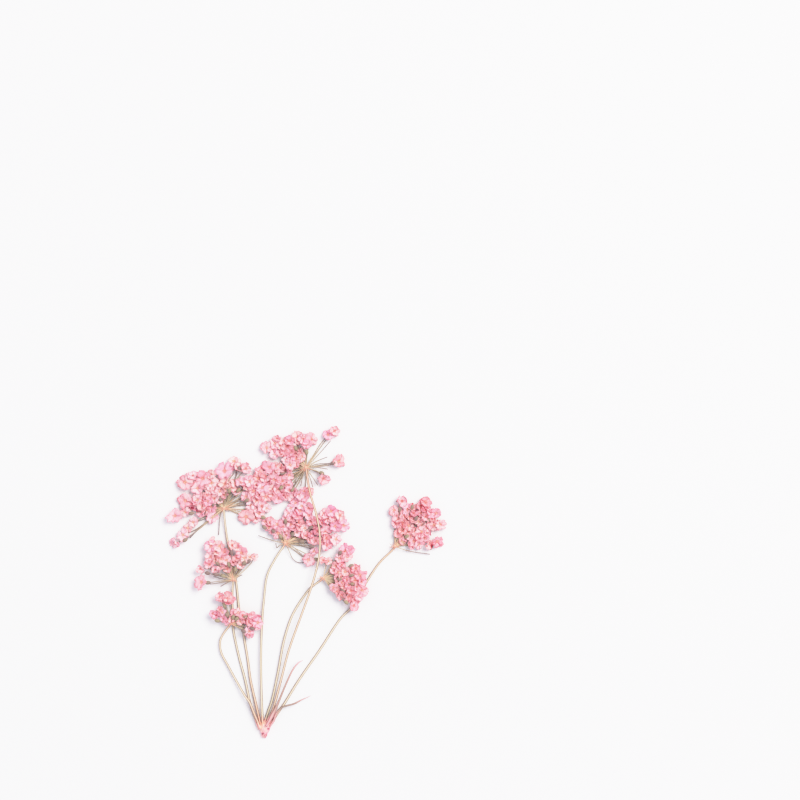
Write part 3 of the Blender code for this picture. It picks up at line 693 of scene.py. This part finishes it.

# %% [markdown]
# ## Umbellets
# Each umbellet is a knot from which thin stalks fan out. At the end of each sits an ovary and on
# it a floret: five notched petals round two small cushions. Florets at the rim are large and
# open; those near the middle are small and curled in like beads. Scattering them all by a rule
# would lose the plant's own shape, so single ones are listed one by one, and a seeded rule only
# fills the close-set patches between them.

# %% Where the florets are
# tone: how pale the head is. warmth: how much coral its pink holds. bed: height that its florets
# lie at. knot: picture x, y and height. florets: picture x, y and radius in millimetres. patches:
# picture x, y, half width, half height, turn. bare: stalks that have lost their floret. ovaries:
# picture x and y of the ovaries that show from above.
UMBELLETS = {
    "umbellet_1": {
        "tone": 0.42,
        "warmth": 0.4,
        "bed": 0.0,
        "knot": (224.5, 508.0, 1.5),
        "florets": [
            (185.5, 482, 2.3), (203, 478.5, 2.3), (225, 471, 2.4), (234.5, 461, 1.6),
            (246, 468.5, 1.6), (186, 500.5, 2.1), (175.5, 515.5, 2.1), (185.5, 511.5, 1.4),
            (194, 522, 1.5), (188.5, 527.5, 1.3), (183.5, 534.5, 1.6), (176, 543, 1.5),
            (213.5, 516.5, 1.7), (202, 511.5, 1.5), (246.5, 516.5, 2.2), (256, 518, 1.5),
            (212, 483, 1.9), (198, 488, 1.8), (238, 466.5, 1.4), (231, 482.5, 1.3),
            (262, 506, 1.6), (259, 513, 1.5), (250, 481.5, 1.8), (258.5, 478, 1.75),
            (262.5, 487.5, 1.8), (254, 491, 1.7), (266, 496.5, 1.7), (257, 500, 1.6),
            (267, 508, 1.3), (193.5, 475.5, 1.4), (212, 474.5, 1.4),
        ],
        "patches": [(208, 499, 20, 10, 30), (231, 487, 12, 7, 20), (256, 490, 11, 21, 0)],
        "bare": [
            [(220.5, 515, 0.8), (218.8, 535, 0.4)], [(231, 500, 1.6), (241, 495, 1.5)],
            [(232, 502, 1.4), (246, 499, 1.2)], [(238, 505, 1.2), (254, 501, 0.9)],
            [(230, 497, 1.8), (235, 491, 1.8)],
            [(227, 497, 1.9), (228, 489, 2.0)], [(213, 512, 1.2), (204, 517, 0.8)],
            [(206, 522, 0.9), (190, 538, 0.7)], [(228, 483, 1.4), (240, 466, 1.4)],
        ],
        "ovaries": [
            (247.5, 500), (230, 490.5), (221, 499), (215, 505), (192, 513), (239, 490),
            (263.5, 517), (239.5, 469), (186, 539.5),
        ],
    },
    "umbellet_2": {
        "tone": 0.4,
        "warmth": 0.45,
        "bed": 1.1,
        "knot": (234.0, 579.0, 2.0),
        "florets": [
            (201.5, 568, 1.4), (202.5, 581.5, 1.9), (211.7, 545.6, 1.8), (214.5, 540.6, 1.2),
            (220.5, 545.2, 1.6), (217, 551, 1.3), (225.6, 551.5, 1.6), (232.8, 544.6, 1.5),
            (238, 547, 1.3), (242, 552.2, 1.7), (255, 556, 1.1), (250.5, 556.5, 1.0),
            (211.5, 556, 1.6), (216.5, 559, 1.3), (210.5, 564, 1.4), (216, 569.3, 1.3),
            (222, 567, 1.2), (228.3, 568.3, 1.4), (227.2, 559.4, 1.5), (222, 558, 1.3),
            (234, 562, 1.3), (245, 557.2, 1.3), (238.3, 557.5, 1.3), (241, 564, 1.2),
        ],
        "patches": [(226, 558, 15, 9, 10)],
        "bare": [
            [(228, 582, 1.6), (221, 586, 1.4)], [(239, 576, 2.2), (243, 574, 2.4)],
            [(226, 579, 1.7), (214, 576, 1.4)], [(240, 571, 2.2), (249, 561, 2.2)],
            [(227, 577, 2.0), (218, 573, 2.0)],
        ],
        "ovaries": [
            (208.5, 572.2), (209, 581.7), (232.2, 551.7), (218.3, 562.2), (229.6, 563.5),
            (249.4, 560.6), (236.5, 568.3), (224.4, 575), (217, 573.5), (245, 562),
        ],
    },
    "umbellet_3": {
        "tone": 0.3,
        "warmth": 0.3,
        "bed": 1.1,
        "knot": (231.7, 622.5, 2.0),
        "florets": [
            (221, 595.6, 1.4), (228.5, 597.2, 1.65), (230.6, 601, 1.5), (224.6, 598.6, 1.2),
            (221, 609, 0.95), (216.7, 614, 1.2), (213.6, 612.6, 1.0), (223.3, 611.4, 1.0),
            (224.4, 617.8, 1.15), (235.6, 612.2, 1.25), (239, 611.7, 1.1), (243.6, 614.4, 1.2),
            (240.8, 620.6, 1.15), (251.7, 613.9, 1.2), (253, 617.6, 1.3), (258.6, 621.7, 1.7),
            (256.8, 624.5, 1.3), (250.4, 621, 1.2), (250, 630.4, 1.4), (250.6, 634, 1.0),
            (232.5, 618, 1.0), (228.4, 620.2, 1.0), (246, 618.8, 1.0), (256, 616.5, 1.2),
        ],
        "patches": [],
        "bare": [
            [(229, 612, 2.0), (225.6, 603, 2.0)], [(240, 621, 2.0), (246, 627, 1.6)],
            [(226, 622, 1.8), (218, 620, 1.6)], [(238, 618, 2.1), (247, 617, 2.0)],
            [(236, 617, 2.2), (240, 613, 2.2)], [(229, 617, 2.1), (223, 613, 2.0)],
        ],
        "ovaries": [
            (225.6, 604.4), (227.8, 613.9), (218.3, 619.5), (234, 616), (246, 616),
            (244.5, 630), (253, 627.2), (237.5, 617.5),
        ],
    },
    "umbellet_4": {
        "tone": 0.35,
        "warmth": 0.25,
        "bed": 0.0,
        "knot": (285.5, 543.0, 1.6),
        "florets": [
            (308.5, 559.5, 1.7), (314, 551, 1.2), (340, 515, 1.6), (344, 525, 1.6),
            (336, 539, 1.6), (327, 545, 1.4), (300, 527, 1.3), (305.5, 535.5, 1.2),
            (310, 539.5, 1.2), (315.5, 540.5, 1.2), (318, 531, 1.4), (311, 521, 1.4),
            (325, 531, 1.5), (297, 532, 1.2), (305, 528, 1.3), (320.5, 541, 1.1),
            (286.5, 535, 1.2), (288.7, 513.3, 1.2), (291, 508, 1.3), (265.5, 521.5, 1.1),
            (311, 533.5, 1.2), (322, 523, 1.4), (331, 511, 1.7), (335, 526, 1.75),
            (326.5, 538, 1.6), (324, 514, 1.5),
        ],
        "patches": [(277, 527, 13, 6, -32), (301, 518, 17, 18, -30), (328, 524, 13, 19, 0)],
        "bare": [
            [(272, 540, 0.9), (258.5, 535.3, 0.8)],
            [(280, 545, 1.4), (277, 547.5, 1.1), (276, 543, 1.0)],
            [(289.5, 551, 1.0), (292.5, 558, 0.6), (298, 562.3, 0.5), (306, 562.5, 0.6)],
            [(294, 547, 1.3), (303, 556, 0.8)], [(297, 542, 1.4), (312, 546.5, 1.3)],
            [(294, 540, 1.6), (304, 536, 1.6)], [(284, 537, 1.8), (282, 530, 1.8)],
        ],
        "ovaries": [
            (265, 527), (274, 531), (281, 536), (293, 534), (302, 541), (312, 546), (311, 527),
            (286, 521), (317, 559),
        ],
    },
    "umbellet_5": {
        "tone": 0.37,
        "warmth": 0.3,
        "bed": 0.0,
        "knot": (306.3, 467.5, 2.2),
        "florets": [
            (277.5, 438.5, 1.2), (267, 448, 1.7), (311, 439, 1.8), (270, 467, 2.1),
            (328.2, 434.8, 1.4), (334.6, 431, 1.55), (339, 461.5, 1.8), (323.5, 478.5, 1.6),
            (284, 441, 1.5), (291, 452, 1.45), (275, 479, 1.7), (281, 468, 1.5), (279, 489, 1.6),
        ],
        "patches": [
            (289, 446, 21, 10, 8), (296, 460, 10, 9, 0), (277, 474, 14, 12, 0),
            (284, 491, 12, 10, 0), (304, 491, 10, 6, 0),
        ],
        "bare": [
            [(317, 461, 2.0), (327.7, 456.7, 2.2)], [(312, 476, 1.5), (318, 485, 1.2)],
            [(320, 453, 2.2), (331, 440.5, 2.0)], [(317, 464, 2.0), (331, 463, 2.0)],
            [(316, 467, 2.0), (328, 469, 1.8)], [(310, 477, 1.5), (313, 487, 1.2)],
            [(303, 476, 1.5), (301, 486, 1.2)], [(299, 474, 1.6), (295, 483, 1.3)],
            [(315, 470, 1.8), (324, 474, 1.6)],
        ],
        "ovaries": [
            (283, 473), (296, 448), (307, 452), (282, 487), (293, 489), (333, 463), (322, 472.8),
        ],
    },
    "umbellet_6": {
        "tone": 0.3,
        "warmth": 0.35,
        "bed": 1.1,
        "knot": (323.8, 577.6, 1.8),
        "florets": [
            (345.5, 550.5, 1.7), (350, 548.6, 1.3), (347.5, 556, 1.6), (340, 557.5, 1.3),
            (336, 565, 1.3), (342, 564.5, 1.2), (328.5, 560.5, 1.1), (323.5, 559.5, 1.2),
            (338.5, 571.5, 1.3), (345.5, 571, 1.4), (351, 570, 1.3), (347.3, 578.6, 1.3),
            (342, 581.5, 1.1), (344.5, 585.5, 1.2), (334, 586.4, 1.2), (337.3, 590, 1.2),
            (341.8, 594, 1.3), (351, 589.5, 1.4), (348.6, 595.8, 1.4), (355.5, 598, 1.6),
            (360, 574, 1.7), (355.5, 579, 1.5), (361.5, 581, 1.6), (356.5, 586, 1.5),
            (361.8, 589.5, 1.8), (359.5, 595, 1.5), (354, 604.5, 1.5), (356, 567.5, 1.4),
            (349, 584, 1.2), (333.5, 570, 1.0), (339, 584.5, 1.0), (341, 575.5, 1.1),
            (337.5, 581.5, 0.9), (351, 579.5, 1.2), (345, 590.5, 1.2), (337, 576, 0.9),
        ],
        "patches": [],
        "bare": [
            [(329, 569, 2.0), (333, 559, 2.0)], [(331, 574, 2.1), (338, 569, 2.1)],
            [(331, 578, 2.1), (339, 578, 2.1)], [(330, 582, 2.0), (335, 588, 2.0)],
            [(333, 590, 1.6), (345, 601.5, 1.4)], [(330, 586, 1.4), (342, 599, 1.2)],
        ],
        "ovaries": [
            (340.5, 552), (351.4, 565), (351.5, 574.5), (339.5, 578), (353.2, 583.2),
            (343.2, 589.8), (346.4, 601),
        ],
    },
    "umbellet_7": {
        "tone": 0.27,
        "warmth": 0.4,
        "bed": 0.0,
        "knot": (395.0, 546.0, 1.6),
        "florets": [
            (437, 541, 1.7), (402, 501, 1.6), (440, 524, 1.6), (425, 502, 1.5),
            (402, 540.5, 1.2), (410, 545, 1.3), (419, 544, 1.4), (429, 543, 1.6),
            (398, 533, 1.2), (394, 510, 1.5), (436, 513, 1.5),
        ],
        "patches": [(414, 523, 23, 19, 20)],
        "bare": [[(410, 551, 0.9), (430, 554, 0.6)]],
        "ovaries": [(399.7, 509), (406.6, 536), (412, 507), (416, 518), (428, 520)],
    },
}

print("florets placed by eye:", sum(len(data["florets"]) for data in UMBELLETS.values()))

# %% [markdown]
# ### One petal
# A petal is a small grid, bent into shape row by row: narrow at its foot, broad and notched at
# its end, its midline rising by one slope at the foot and another at the tip. A closed floret's
# petals curl over its heart; an open one's lie nearly flat. A grid of twenty faces is enough for
# a shape of 1 to 3 mm that is repeated more than a thousand times. Points that end up deep in the
# head are painted darker, as shade in the creases.

# %% Petal
PETALS = 5
PETAL_ROWS = 5
PETAL_COLUMNS = 4
FOOT_WIDTH = 0.14
# the outline is a stretch of a half wave: its start, its length and its power
SWELL_START = 0.02
SWELL_RUN = 0.66
SWELL_POWER = 1.3
NOTCH = 0.32
SHOULDER_ROUNDING = 0.34
# rows that a full notch would reach back from the tip
NOTCH_ROWS = 3
GROOVE = 0.08
CRUMPLE = 0.16
CRUMPLE_FINENESS = 1.1
LOWEST = 0.05
# painted shade: within this height in mm above the bed, petals are coloured darker the lower they
# lie; the next two set how much darker
CREASE_DEPTH = 1.25
CREASE_PAINTED_SHADE = 1.3
RIM_PAINTED_SHADE = 0.3


def petal_spine(length, slopes, curl):
    """Points along the midline, seen from the side, and which way the petal faces at each."""
    spine = [Vector((0.0, 0.0))]
    facing = []
    for row in range(PETAL_ROWS + 1):
        share = min(1.0, (row + 0.5) / PETAL_ROWS)
        slope = math.radians(slopes[0] + (slopes[1] - slopes[0]) * share ** curl)
        facing.append(Vector((-math.sin(slope), math.cos(slope))))
        step = Vector((math.cos(slope), math.sin(slope))) * length / PETAL_ROWS
        spine.append(spine[-1] + step)
    return spine, facing


def add_petal(bm, length, width, slopes, curl, hood, tone, warmth, bed, crease_shade, matrix):
    """A petal from the origin along +X, then placed by the matrix."""
    shade = bm.verts.layers.float_color["shade"]
    grid = bmesh.ops.create_grid(
        bm, x_segments=PETAL_ROWS, y_segments=PETAL_COLUMNS, size=1.0
    )
    spine, facing = petal_spine(length, slopes, curl)
    for vert in grid["verts"]:
        row = round((vert.co.x + 1) / 2 * PETAL_ROWS)
        across = vert.co.y
        out = row / PETAL_ROWS
        swell = math.sin(math.pi * (SWELL_START + SWELL_RUN * out)) ** SWELL_POWER
        half_width = width * (FOOT_WIDTH + (1 - FOOT_WIDTH) * swell)
        back = NOTCH * max(0.0, 1 - 2 * abs(across)) + SHOULDER_ROUNDING * across ** 4
        row_step = spine[row] - spine[max(row - 1, 0)]
        spot = spine[row] - row_step * back * out ** 3 * NOTCH_ROWS
        spot = spot + facing[row] * (hood * across * across * out) * width
        groove = GROOVE * width * max(0.0, 1 - 3 * abs(across)) * out
        vert.co = matrix @ (Vector((spot.x, across * half_width, spot.y - groove)) * MM)
        crumple = noise.noise_vector(vert.co / MM * CRUMPLE_FINENESS) * CRUMPLE * length * MM
        vert.co += crumple * out
        vert.co.z = max(vert.co.z, LOWEST * MM)
        # painted shade: the lower the point lies in the head, the darker its pink
        depth = min(1.0, max(0.0, 1 - (vert.co.z / MM - bed) / CREASE_DEPTH))
        vert[shade] = (tone - crease_shade * depth * depth, out, warmth, max(out, abs(across)))


print("petal faces:", PETAL_ROWS * PETAL_COLUMNS)

# %% [markdown]
# ### One floret
# Five petals of unequal length and width, as real ones are. In an open floret they spread almost
# flat; in a closed one they are longer for their reach, because they curl up and over. Those of a
# large floret grow longer on the side that looks out of the umbellet.

# %% Floret
THROAT = 0.12
# a floret with at least this radius in millimetres lies open and is large
OPEN_FROM = 1.66
LENGTH_SPREAD = (0.75, 1.15)
WIDTH_SPREAD = (0.75, 1.3)
PETAL_WIDTH = 0.66
OUTER_LENGTHENING = 0.12
OUTER_WIDENING = 0.08
TONE_SPREAD = 0.12
# the most, in radians, that a petal is off its place and is turned about its midline
ANGLE_SPREAD = 0.4
TWIST = 0.3
# limits of the slopes in degrees at the foot and the tip, how late the bend comes, limits of how
# far the sides rise, and how much longer the petal is than its reach
SPREADING = {"slopes": ((0, 35), (-30, 50)), "curl": 2.0, "hood": (-0.3, 0.3), "longer": 1.05}
CURLED = {"slopes": ((-5, 30), (40, 175)), "curl": 2.8, "hood": (0.0, 0.5), "longer": 1.3}


def floret_matrix(spot, outward, lean, turn):
    heading = Matrix.Rotation(outward, 4, "Z")
    tilt = Matrix.Rotation(lean, 4, "Y")
    return Matrix.Translation(spot) @ heading @ tilt @ Matrix.Rotation(turn, 4, "Z")


def add_floret(petals_bm, radius, is_open, outer, tone, warmth, bed, crease_shade, matrix, draw):
    """Five petals round the origin. outer is the angle that looks out of the umbellet."""
    for index in range(PETALS):
        angle = 2 * math.pi * index / PETALS + draw.uniform(-ANGLE_SPREAD, ANGLE_SPREAD)
        length = (radius - THROAT) * draw.uniform(*LENGTH_SPREAD)
        width = PETAL_WIDTH * radius * draw.uniform(*WIDTH_SPREAD)
        if radius >= OPEN_FROM:
            length *= 1 + OUTER_LENGTHENING * math.cos(angle - outer)
            width *= 1 + OUTER_WIDENING * math.cos(angle - outer)
        form = SPREADING if is_open else CURLED
        slopes = [draw.uniform(*limits) for limits in form["slopes"]]
        hood = draw.uniform(*form["hood"])
        length *= form["longer"]
        turn = (
            Matrix.Rotation(angle, 4, "Z") @ Matrix.Translation((THROAT * MM, 0, 0))
            @ Matrix.Rotation(draw.uniform(-TWIST, TWIST), 4, "X")
        )
        add_petal(
            petals_bm, length, width, slopes, form["curl"], hood,
            tone + draw.uniform(-TONE_SPREAD, TONE_SPREAD), warmth, bed, crease_shade, matrix @ turn,
        )


print("petals of a 2 mm floret, in mm:", [round((2 - THROAT) * s, 2) for s in LENGTH_SPREAD])

# %% [markdown]
# ### Hearts and ovaries
# In the middle of a floret sit two waxy cushions, and an open one has dark anthers round them. The
# ovary hangs under it. All are rounded bodies of well under a millimetre, so each is a small
# icosphere, scaled.

# %% Hearts and ovaries
CUSHION = Vector((0.2, 0.14, 0.14))
CUSHION_OFF_MIDDLE = 0.13
CUSHION_HEIGHT = 0.08
ANTHER = Vector((0.1, 0.06, 0.06))
ANTHER_HEIGHT = 0.3
ANTHER_TINTS = (0.7, 1.0)
# how far out an anther sits, as a share of the floret's radius
ANTHER_REACH = (0.25, 0.6)
OVARY_LENGTH = 0.95
OVARY_RADIUS = 0.36


def add_bead(bm, half_size, centre, tint, matrix, subdivisions=1):
    """A small rounded body with its shade and UV map."""
    shade = bm.verts.layers.float_color["shade"]
    uv = bm.loops.layers.uv["stem"]
    made = bmesh.ops.create_icosphere(bm, subdivisions=subdivisions, radius=MM)["verts"]
    for vert in made:
        ball = vert.co / MM
        vert.co = matrix @ ((Vector(centre) + ball * half_size) * MM)
        vert[shade] = (tint, 0.0, 0.0, 1.0)
        for loop in vert.link_loops:
            loop[uv].uv = (math.atan2(ball.y, ball.x) / math.pi, ball.z)


def add_heart(bm, radius, is_open, matrix, draw):
    """Two cushions, and the anthers of an open floret."""
    for side in (-1, 1):
        tint = 0.3 * draw.random() + 0.35 * (not is_open)
        spot = (0, CUSHION_OFF_MIDDLE * side, CUSHION_HEIGHT)
        add_bead(bm, CUSHION, spot, tint, matrix)
    if is_open:
        for index in range(PETALS):
            angle = 2 * math.pi * (index + 0.5) / PETALS + draw.uniform(-0.3, 0.3)
            reach = radius * draw.uniform(*ANTHER_REACH)
            spot = (math.cos(angle) * reach, math.sin(angle) * reach, ANTHER_HEIGHT)
            add_bead(bm, ANTHER, spot, draw.uniform(*ANTHER_TINTS), matrix)


def add_ovary(bm, tint, subdivisions, matrix):
    """The seed case right under a floret."""
    half_size = Vector((OVARY_RADIUS, OVARY_RADIUS, OVARY_LENGTH / 2))
    add_bead(bm, half_size, (0, 0, -OVARY_LENGTH / 2), tint, matrix, subdivisions)


print("ovary in mm:", OVARY_LENGTH, "long,", 2 * OVARY_RADIUS, "across")

# %% [markdown]
# ### Filling a patch
# Close-set florets touch and overlap a little but never share a place. The rule throws random
# places into the patch and keeps the closest one that is still allowed, so they pack tightly.
# When none of its throws is allowed, the patch is full.

# %% Fill rule
CLOSENESS = 0.5
TRIES = 40
PATCH_REACH = 0.95
CLOSE_SET_RADIUS = (1.15, 1.65)


def fill_patch(draw, patch, taken):
    """Adds close-set florets (x, y, radius in millimetres) over the patch until it is full."""
    middle = place(patch[0], patch[1], 0) / MM
    turn = math.radians(patch[4])
    while True:
        best, best_room = None, 0.0
        for _ in range(TRIES):
            angle = draw.uniform(0, 2 * math.pi)
            reach = math.sqrt(draw.random()) * PATCH_REACH * MM_PER_PIXEL
            x = patch[2] * math.cos(angle) * reach
            y = patch[3] * math.sin(angle) * reach
            spot = Vector((
                middle.x + x * math.cos(turn) - y * math.sin(turn),
                middle.y + x * math.sin(turn) + y * math.cos(turn),
            ))
            radius = draw.uniform(*CLOSE_SET_RADIUS)
            room = min(
                (math.hypot(spot.x - o[0], spot.y - o[1]) / (radius + o[2]) for o in taken),
                default=9.0,
            )
            if room >= CLOSENESS and (best is None or room < best_room):
                best, best_room = (spot.x, spot.y, radius), room
        if best is None:
            return
        taken.append(best)


print("close-set florets across, in mm:", [2 * radius for radius in CLOSE_SET_RADIUS])

# %% [markdown]
# ### Stalks
# A stalk runs from the knot unless another one already passes close to its floret: then it forks
# off that one, under the petals, and the fan keeps its gaps. It is peach only near the knot.

# %% Stalks
STALK_RADIUS = 0.12
STALK_SIDES = 6
STALK_TINT_RISE = 0.75
STALK_TINTS = (-0.15, 0.3)
ROOT_THICKENING = 0.35
STALK_SWAY = 0.07
EARLY_HEIGHT = (0.3, 0.8)
LATE_HEIGHT = (0.2, 0.5)
FORK_REACH = 1.6
FORK_BEGIN = 0.7
BRACTEOLES = 12
BRACTEOLE_LENGTH = (0.8, 1.9)
BRACTEOLE_RADII = (0.11, 0.03)
BRACTEOLE_TINT = -0.15


def add_stalk(bm, path, tint, begin=0.0, root_thickening=0.0):
    """A swept stalk whose colours start at this share of a whole one."""
    shares = [begin + (1 - begin) * k / (len(path) - 1) for k in range(len(path))]
    tints = [tint + STALK_TINT_RISE * share ** 0.8 for share in shares]
    radii = [
        STALK_RADIUS * (1 + root_thickening * (1 - min(1.0, k / 4))) for k in range(len(path))
    ]
    sweep(bm, path, radii, STALK_SIDES, tints)


def add_floret_stalk(bm, knot, foot, away, bed, forks, draw):
    """The stalk to a floret's foot, from the knot or off an earlier one."""
    sway = draw.uniform(-STALK_SWAY, STALK_SWAY) * away.length
    side = Vector((-away.y, away.x, 0)).normalized() * sway
    early = knot.lerp(foot, 0.35) + side * 0.7
    early.z = (bed + draw.uniform(*EARLY_HEIGHT)) * MM
    late = knot.lerp(foot, 0.75) + side
    late.z = (bed + draw.uniform(*LATE_HEIGHT)) * MM
    tint = draw.uniform(*STALK_TINTS)
    fork = min(forks, key=lambda spot: (spot - foot).length, default=None)
    if fork is None or (fork - foot).length > FORK_REACH * MM:
        path = smooth_path([knot, early, late, foot], 4)
        add_stalk(bm, path, tint, root_thickening=ROOT_THICKENING)
        forks.append(late)
    else:
        add_stalk(bm, smooth_path([fork, fork.lerp(foot, 0.5), foot], 3), tint, FORK_BEGIN)


def add_bracteoles(bm, knot, draw):
    """Short pointed scales that spread from the knot."""
    for _ in range(BRACTEOLES):
        angle = draw.uniform(0, 2 * math.pi)
        length = draw.uniform(*BRACTEOLE_LENGTH)
        ahead = Vector((math.cos(angle), math.sin(angle), 0)) * length * MM
        middle = knot + ahead * 0.5 + Vector((0, 0, 0.2 * MM))
        path = smooth_path([knot, middle, knot + ahead], 3)
        radii = tapering(*BRACTEOLE_RADII, len(path))
        sweep(bm, path, radii, 4, [BRACTEOLE_TINT] * len(path))


print("stalk thickness in mm:", 2 * STALK_RADIUS)

# %% [markdown]
# ### Building the heads
# For each head, all petals go into one mesh, which Solidify thickens to a closed skin; hearts,
# ovaries and stalks get a mesh each, because each is another tissue. Ovaries under close-set
# florets hardly show, so they go in with the hearts and take a dark crimson, as painted shade in
# the gaps. Florets at the rim get less of the painted crease shade, because no others lie over
# them.

# %% Umbellets
PETAL_THICKNESS = 0.07
FLORET_HEIGHT = (0.95, 1.4)
FOOT_HEIGHT = 0.2
OPEN_SHARE = 0.35
WARMTH_SPREAD = 0.35
LARGE_DEEPER_TONE = 0.09
# limits of a floret's lean in degrees, and how far in radians it may turn from looking outwards
OPEN_LEAN = (2, 18)
CURLED_LEAN = (5, 45)
HEADING_SPREAD = 0.8
RIM_REACH = 3.0
RIM_ANGLE = math.radians(60)
KNOT_HALF_SIZE = Vector((0.5, 0.5, 0.35))
# painted shade: ovaries under close-set florets take a dark crimson, so the gaps between florets
# look dark
HIDDEN_OVARY_SHADE_TINT = 0.8
OVARY_TINTS = (0.0, 0.6)
SEEN_OVARY = Vector((0.36, 0.52, 0.8))
SEEN_OVARY_HEIGHT = 1.75
SEEN_OVARY_LEAN = math.radians(80)
SEEN_OVARY_STALK_HEIGHT = 0.9
BARE_TINTS = (0.0, 0.3)


def at_rim(spot, florets, knot_spot):
    """Whether no floret lies close by on the side of this one that looks away from the knot."""
    outward = (spot - knot_spot).normalized()
    for x, y, _ in florets:
        step = Vector((x, y)) - spot
        if 0 < step.length < RIM_REACH and step.angle(outward) < RIM_ANGLE:
            return False
    return True


def all_florets(data, draw):
    """The florets listed one by one, then those that fill the patches: x, y, radius in mm."""
    florets = []
    for pixel_x, pixel_y, radius in data["florets"]:
        spot = place(pixel_x, pixel_y, 0) / MM
        florets.append((spot.x, spot.y, radius))
    for patch in data["patches"]:
        fill_patch(draw, patch, florets)
    return florets


draw = random.Random(SEED + 2)
for name, data in UMBELLETS.items():
    bed = data["bed"]
    knot = place(*data["knot"])
    florets = all_florets(data, draw)
    petals = bmesh.new()
    petals.verts.layers.float_color.new("shade")
    hearts = new_stem_mesh()
    ovaries = new_stem_mesh()
    stalks = new_stem_mesh()
    forks = []
    add_bead(stalks, KNOT_HALF_SIZE, (0, 0, 0), -0.1, Matrix.Translation(knot), 2)
    for number, (x, y, radius) in enumerate(florets):
        away = Vector((x, y, 0)) * MM - knot
        outward = math.atan2(away.y, away.x)
        is_large = radius >= OPEN_FROM
        is_open = is_large or draw.random() < OPEN_SHARE
        lean = math.radians(draw.uniform(*(OPEN_LEAN if is_open else CURLED_LEAN)))
        height = bed + draw.uniform(*FLORET_HEIGHT)
        turn = draw.uniform(0, 2 * math.pi)
        heading = outward + draw.uniform(-HEADING_SPREAD, HEADING_SPREAD)
        matrix = floret_matrix(Vector((x, y, height)) * MM, heading, lean, turn)
        tone = data["tone"] + draw.uniform(-TONE_SPREAD, TONE_SPREAD)
        tone -= LARGE_DEEPER_TONE * is_large
        warmth = data["warmth"] + draw.uniform(-WARMTH_SPREAD, WARMTH_SPREAD)
        warmth = min(1.0, max(0.0, warmth))
        outer = outward - heading - turn
        is_outside = is_large or at_rim(Vector((x, y)), florets, knot.xy / MM)
        # painted shade in the creases, weaker for florets at the rim that nothing lies over
        crease_shade = RIM_PAINTED_SHADE if is_outside else CREASE_PAINTED_SHADE
        add_floret(petals, radius, is_open, outer, tone, warmth, bed, crease_shade, matrix, draw)
        add_heart(hearts, radius, is_open, matrix, draw)
        if number < len(data["florets"]):
            add_ovary(ovaries, draw.uniform(*OVARY_TINTS), 2, matrix)
        else:
            add_ovary(hearts, HIDDEN_OVARY_SHADE_TINT, 1, matrix)
        foot = matrix @ Vector((0, 0, -OVARY_LENGTH * MM))
        foot.z = max(foot.z, (bed + FOOT_HEIGHT) * MM)
        add_floret_stalk(stalks, knot, foot, away, bed, forks, draw)
    for pixel_x, pixel_y in data["ovaries"]:
        spot = place(pixel_x, pixel_y, bed + SEEN_OVARY_HEIGHT)
        away = spot - knot
        matrix = floret_matrix(spot, math.atan2(away.y, away.x), SEEN_OVARY_LEAN, 0.0)
        add_bead(ovaries, SEEN_OVARY, (0, 0, 0), draw.uniform(*OVARY_TINTS), matrix, 2)
        middle = knot.lerp(spot, 0.5)
        middle.z = (bed + SEEN_OVARY_STALK_HEIGHT) * MM
        add_stalk(stalks, smooth_path([knot, middle, spot], 5), 0.1)
    for run in data["bare"]:
        path = smooth_path([knot, *[place(*spot) for spot in run]], 5)
        add_stalk(stalks, path, draw.uniform(*BARE_TINTS))
    add_bracteoles(stalks, knot, draw)

    blossom = new_object(name + "_petals", petals, petal_tissue)
    skin = blossom.modifiers.new("skin", "SOLIDIFY")
    skin.thickness = PETAL_THICKNESS * MM
    skin.offset = 0.0
    belongs(blossom, name)
    for part, bm, material in (
        ("_hearts", hearts, heart_peach), ("_ovaries", ovaries, ovary_olive),
        ("_stalks", stalks, stalk_olive),
    ):
        belongs(new_object(name + part, bm, material), name)
    print(name, len(florets), "florets")
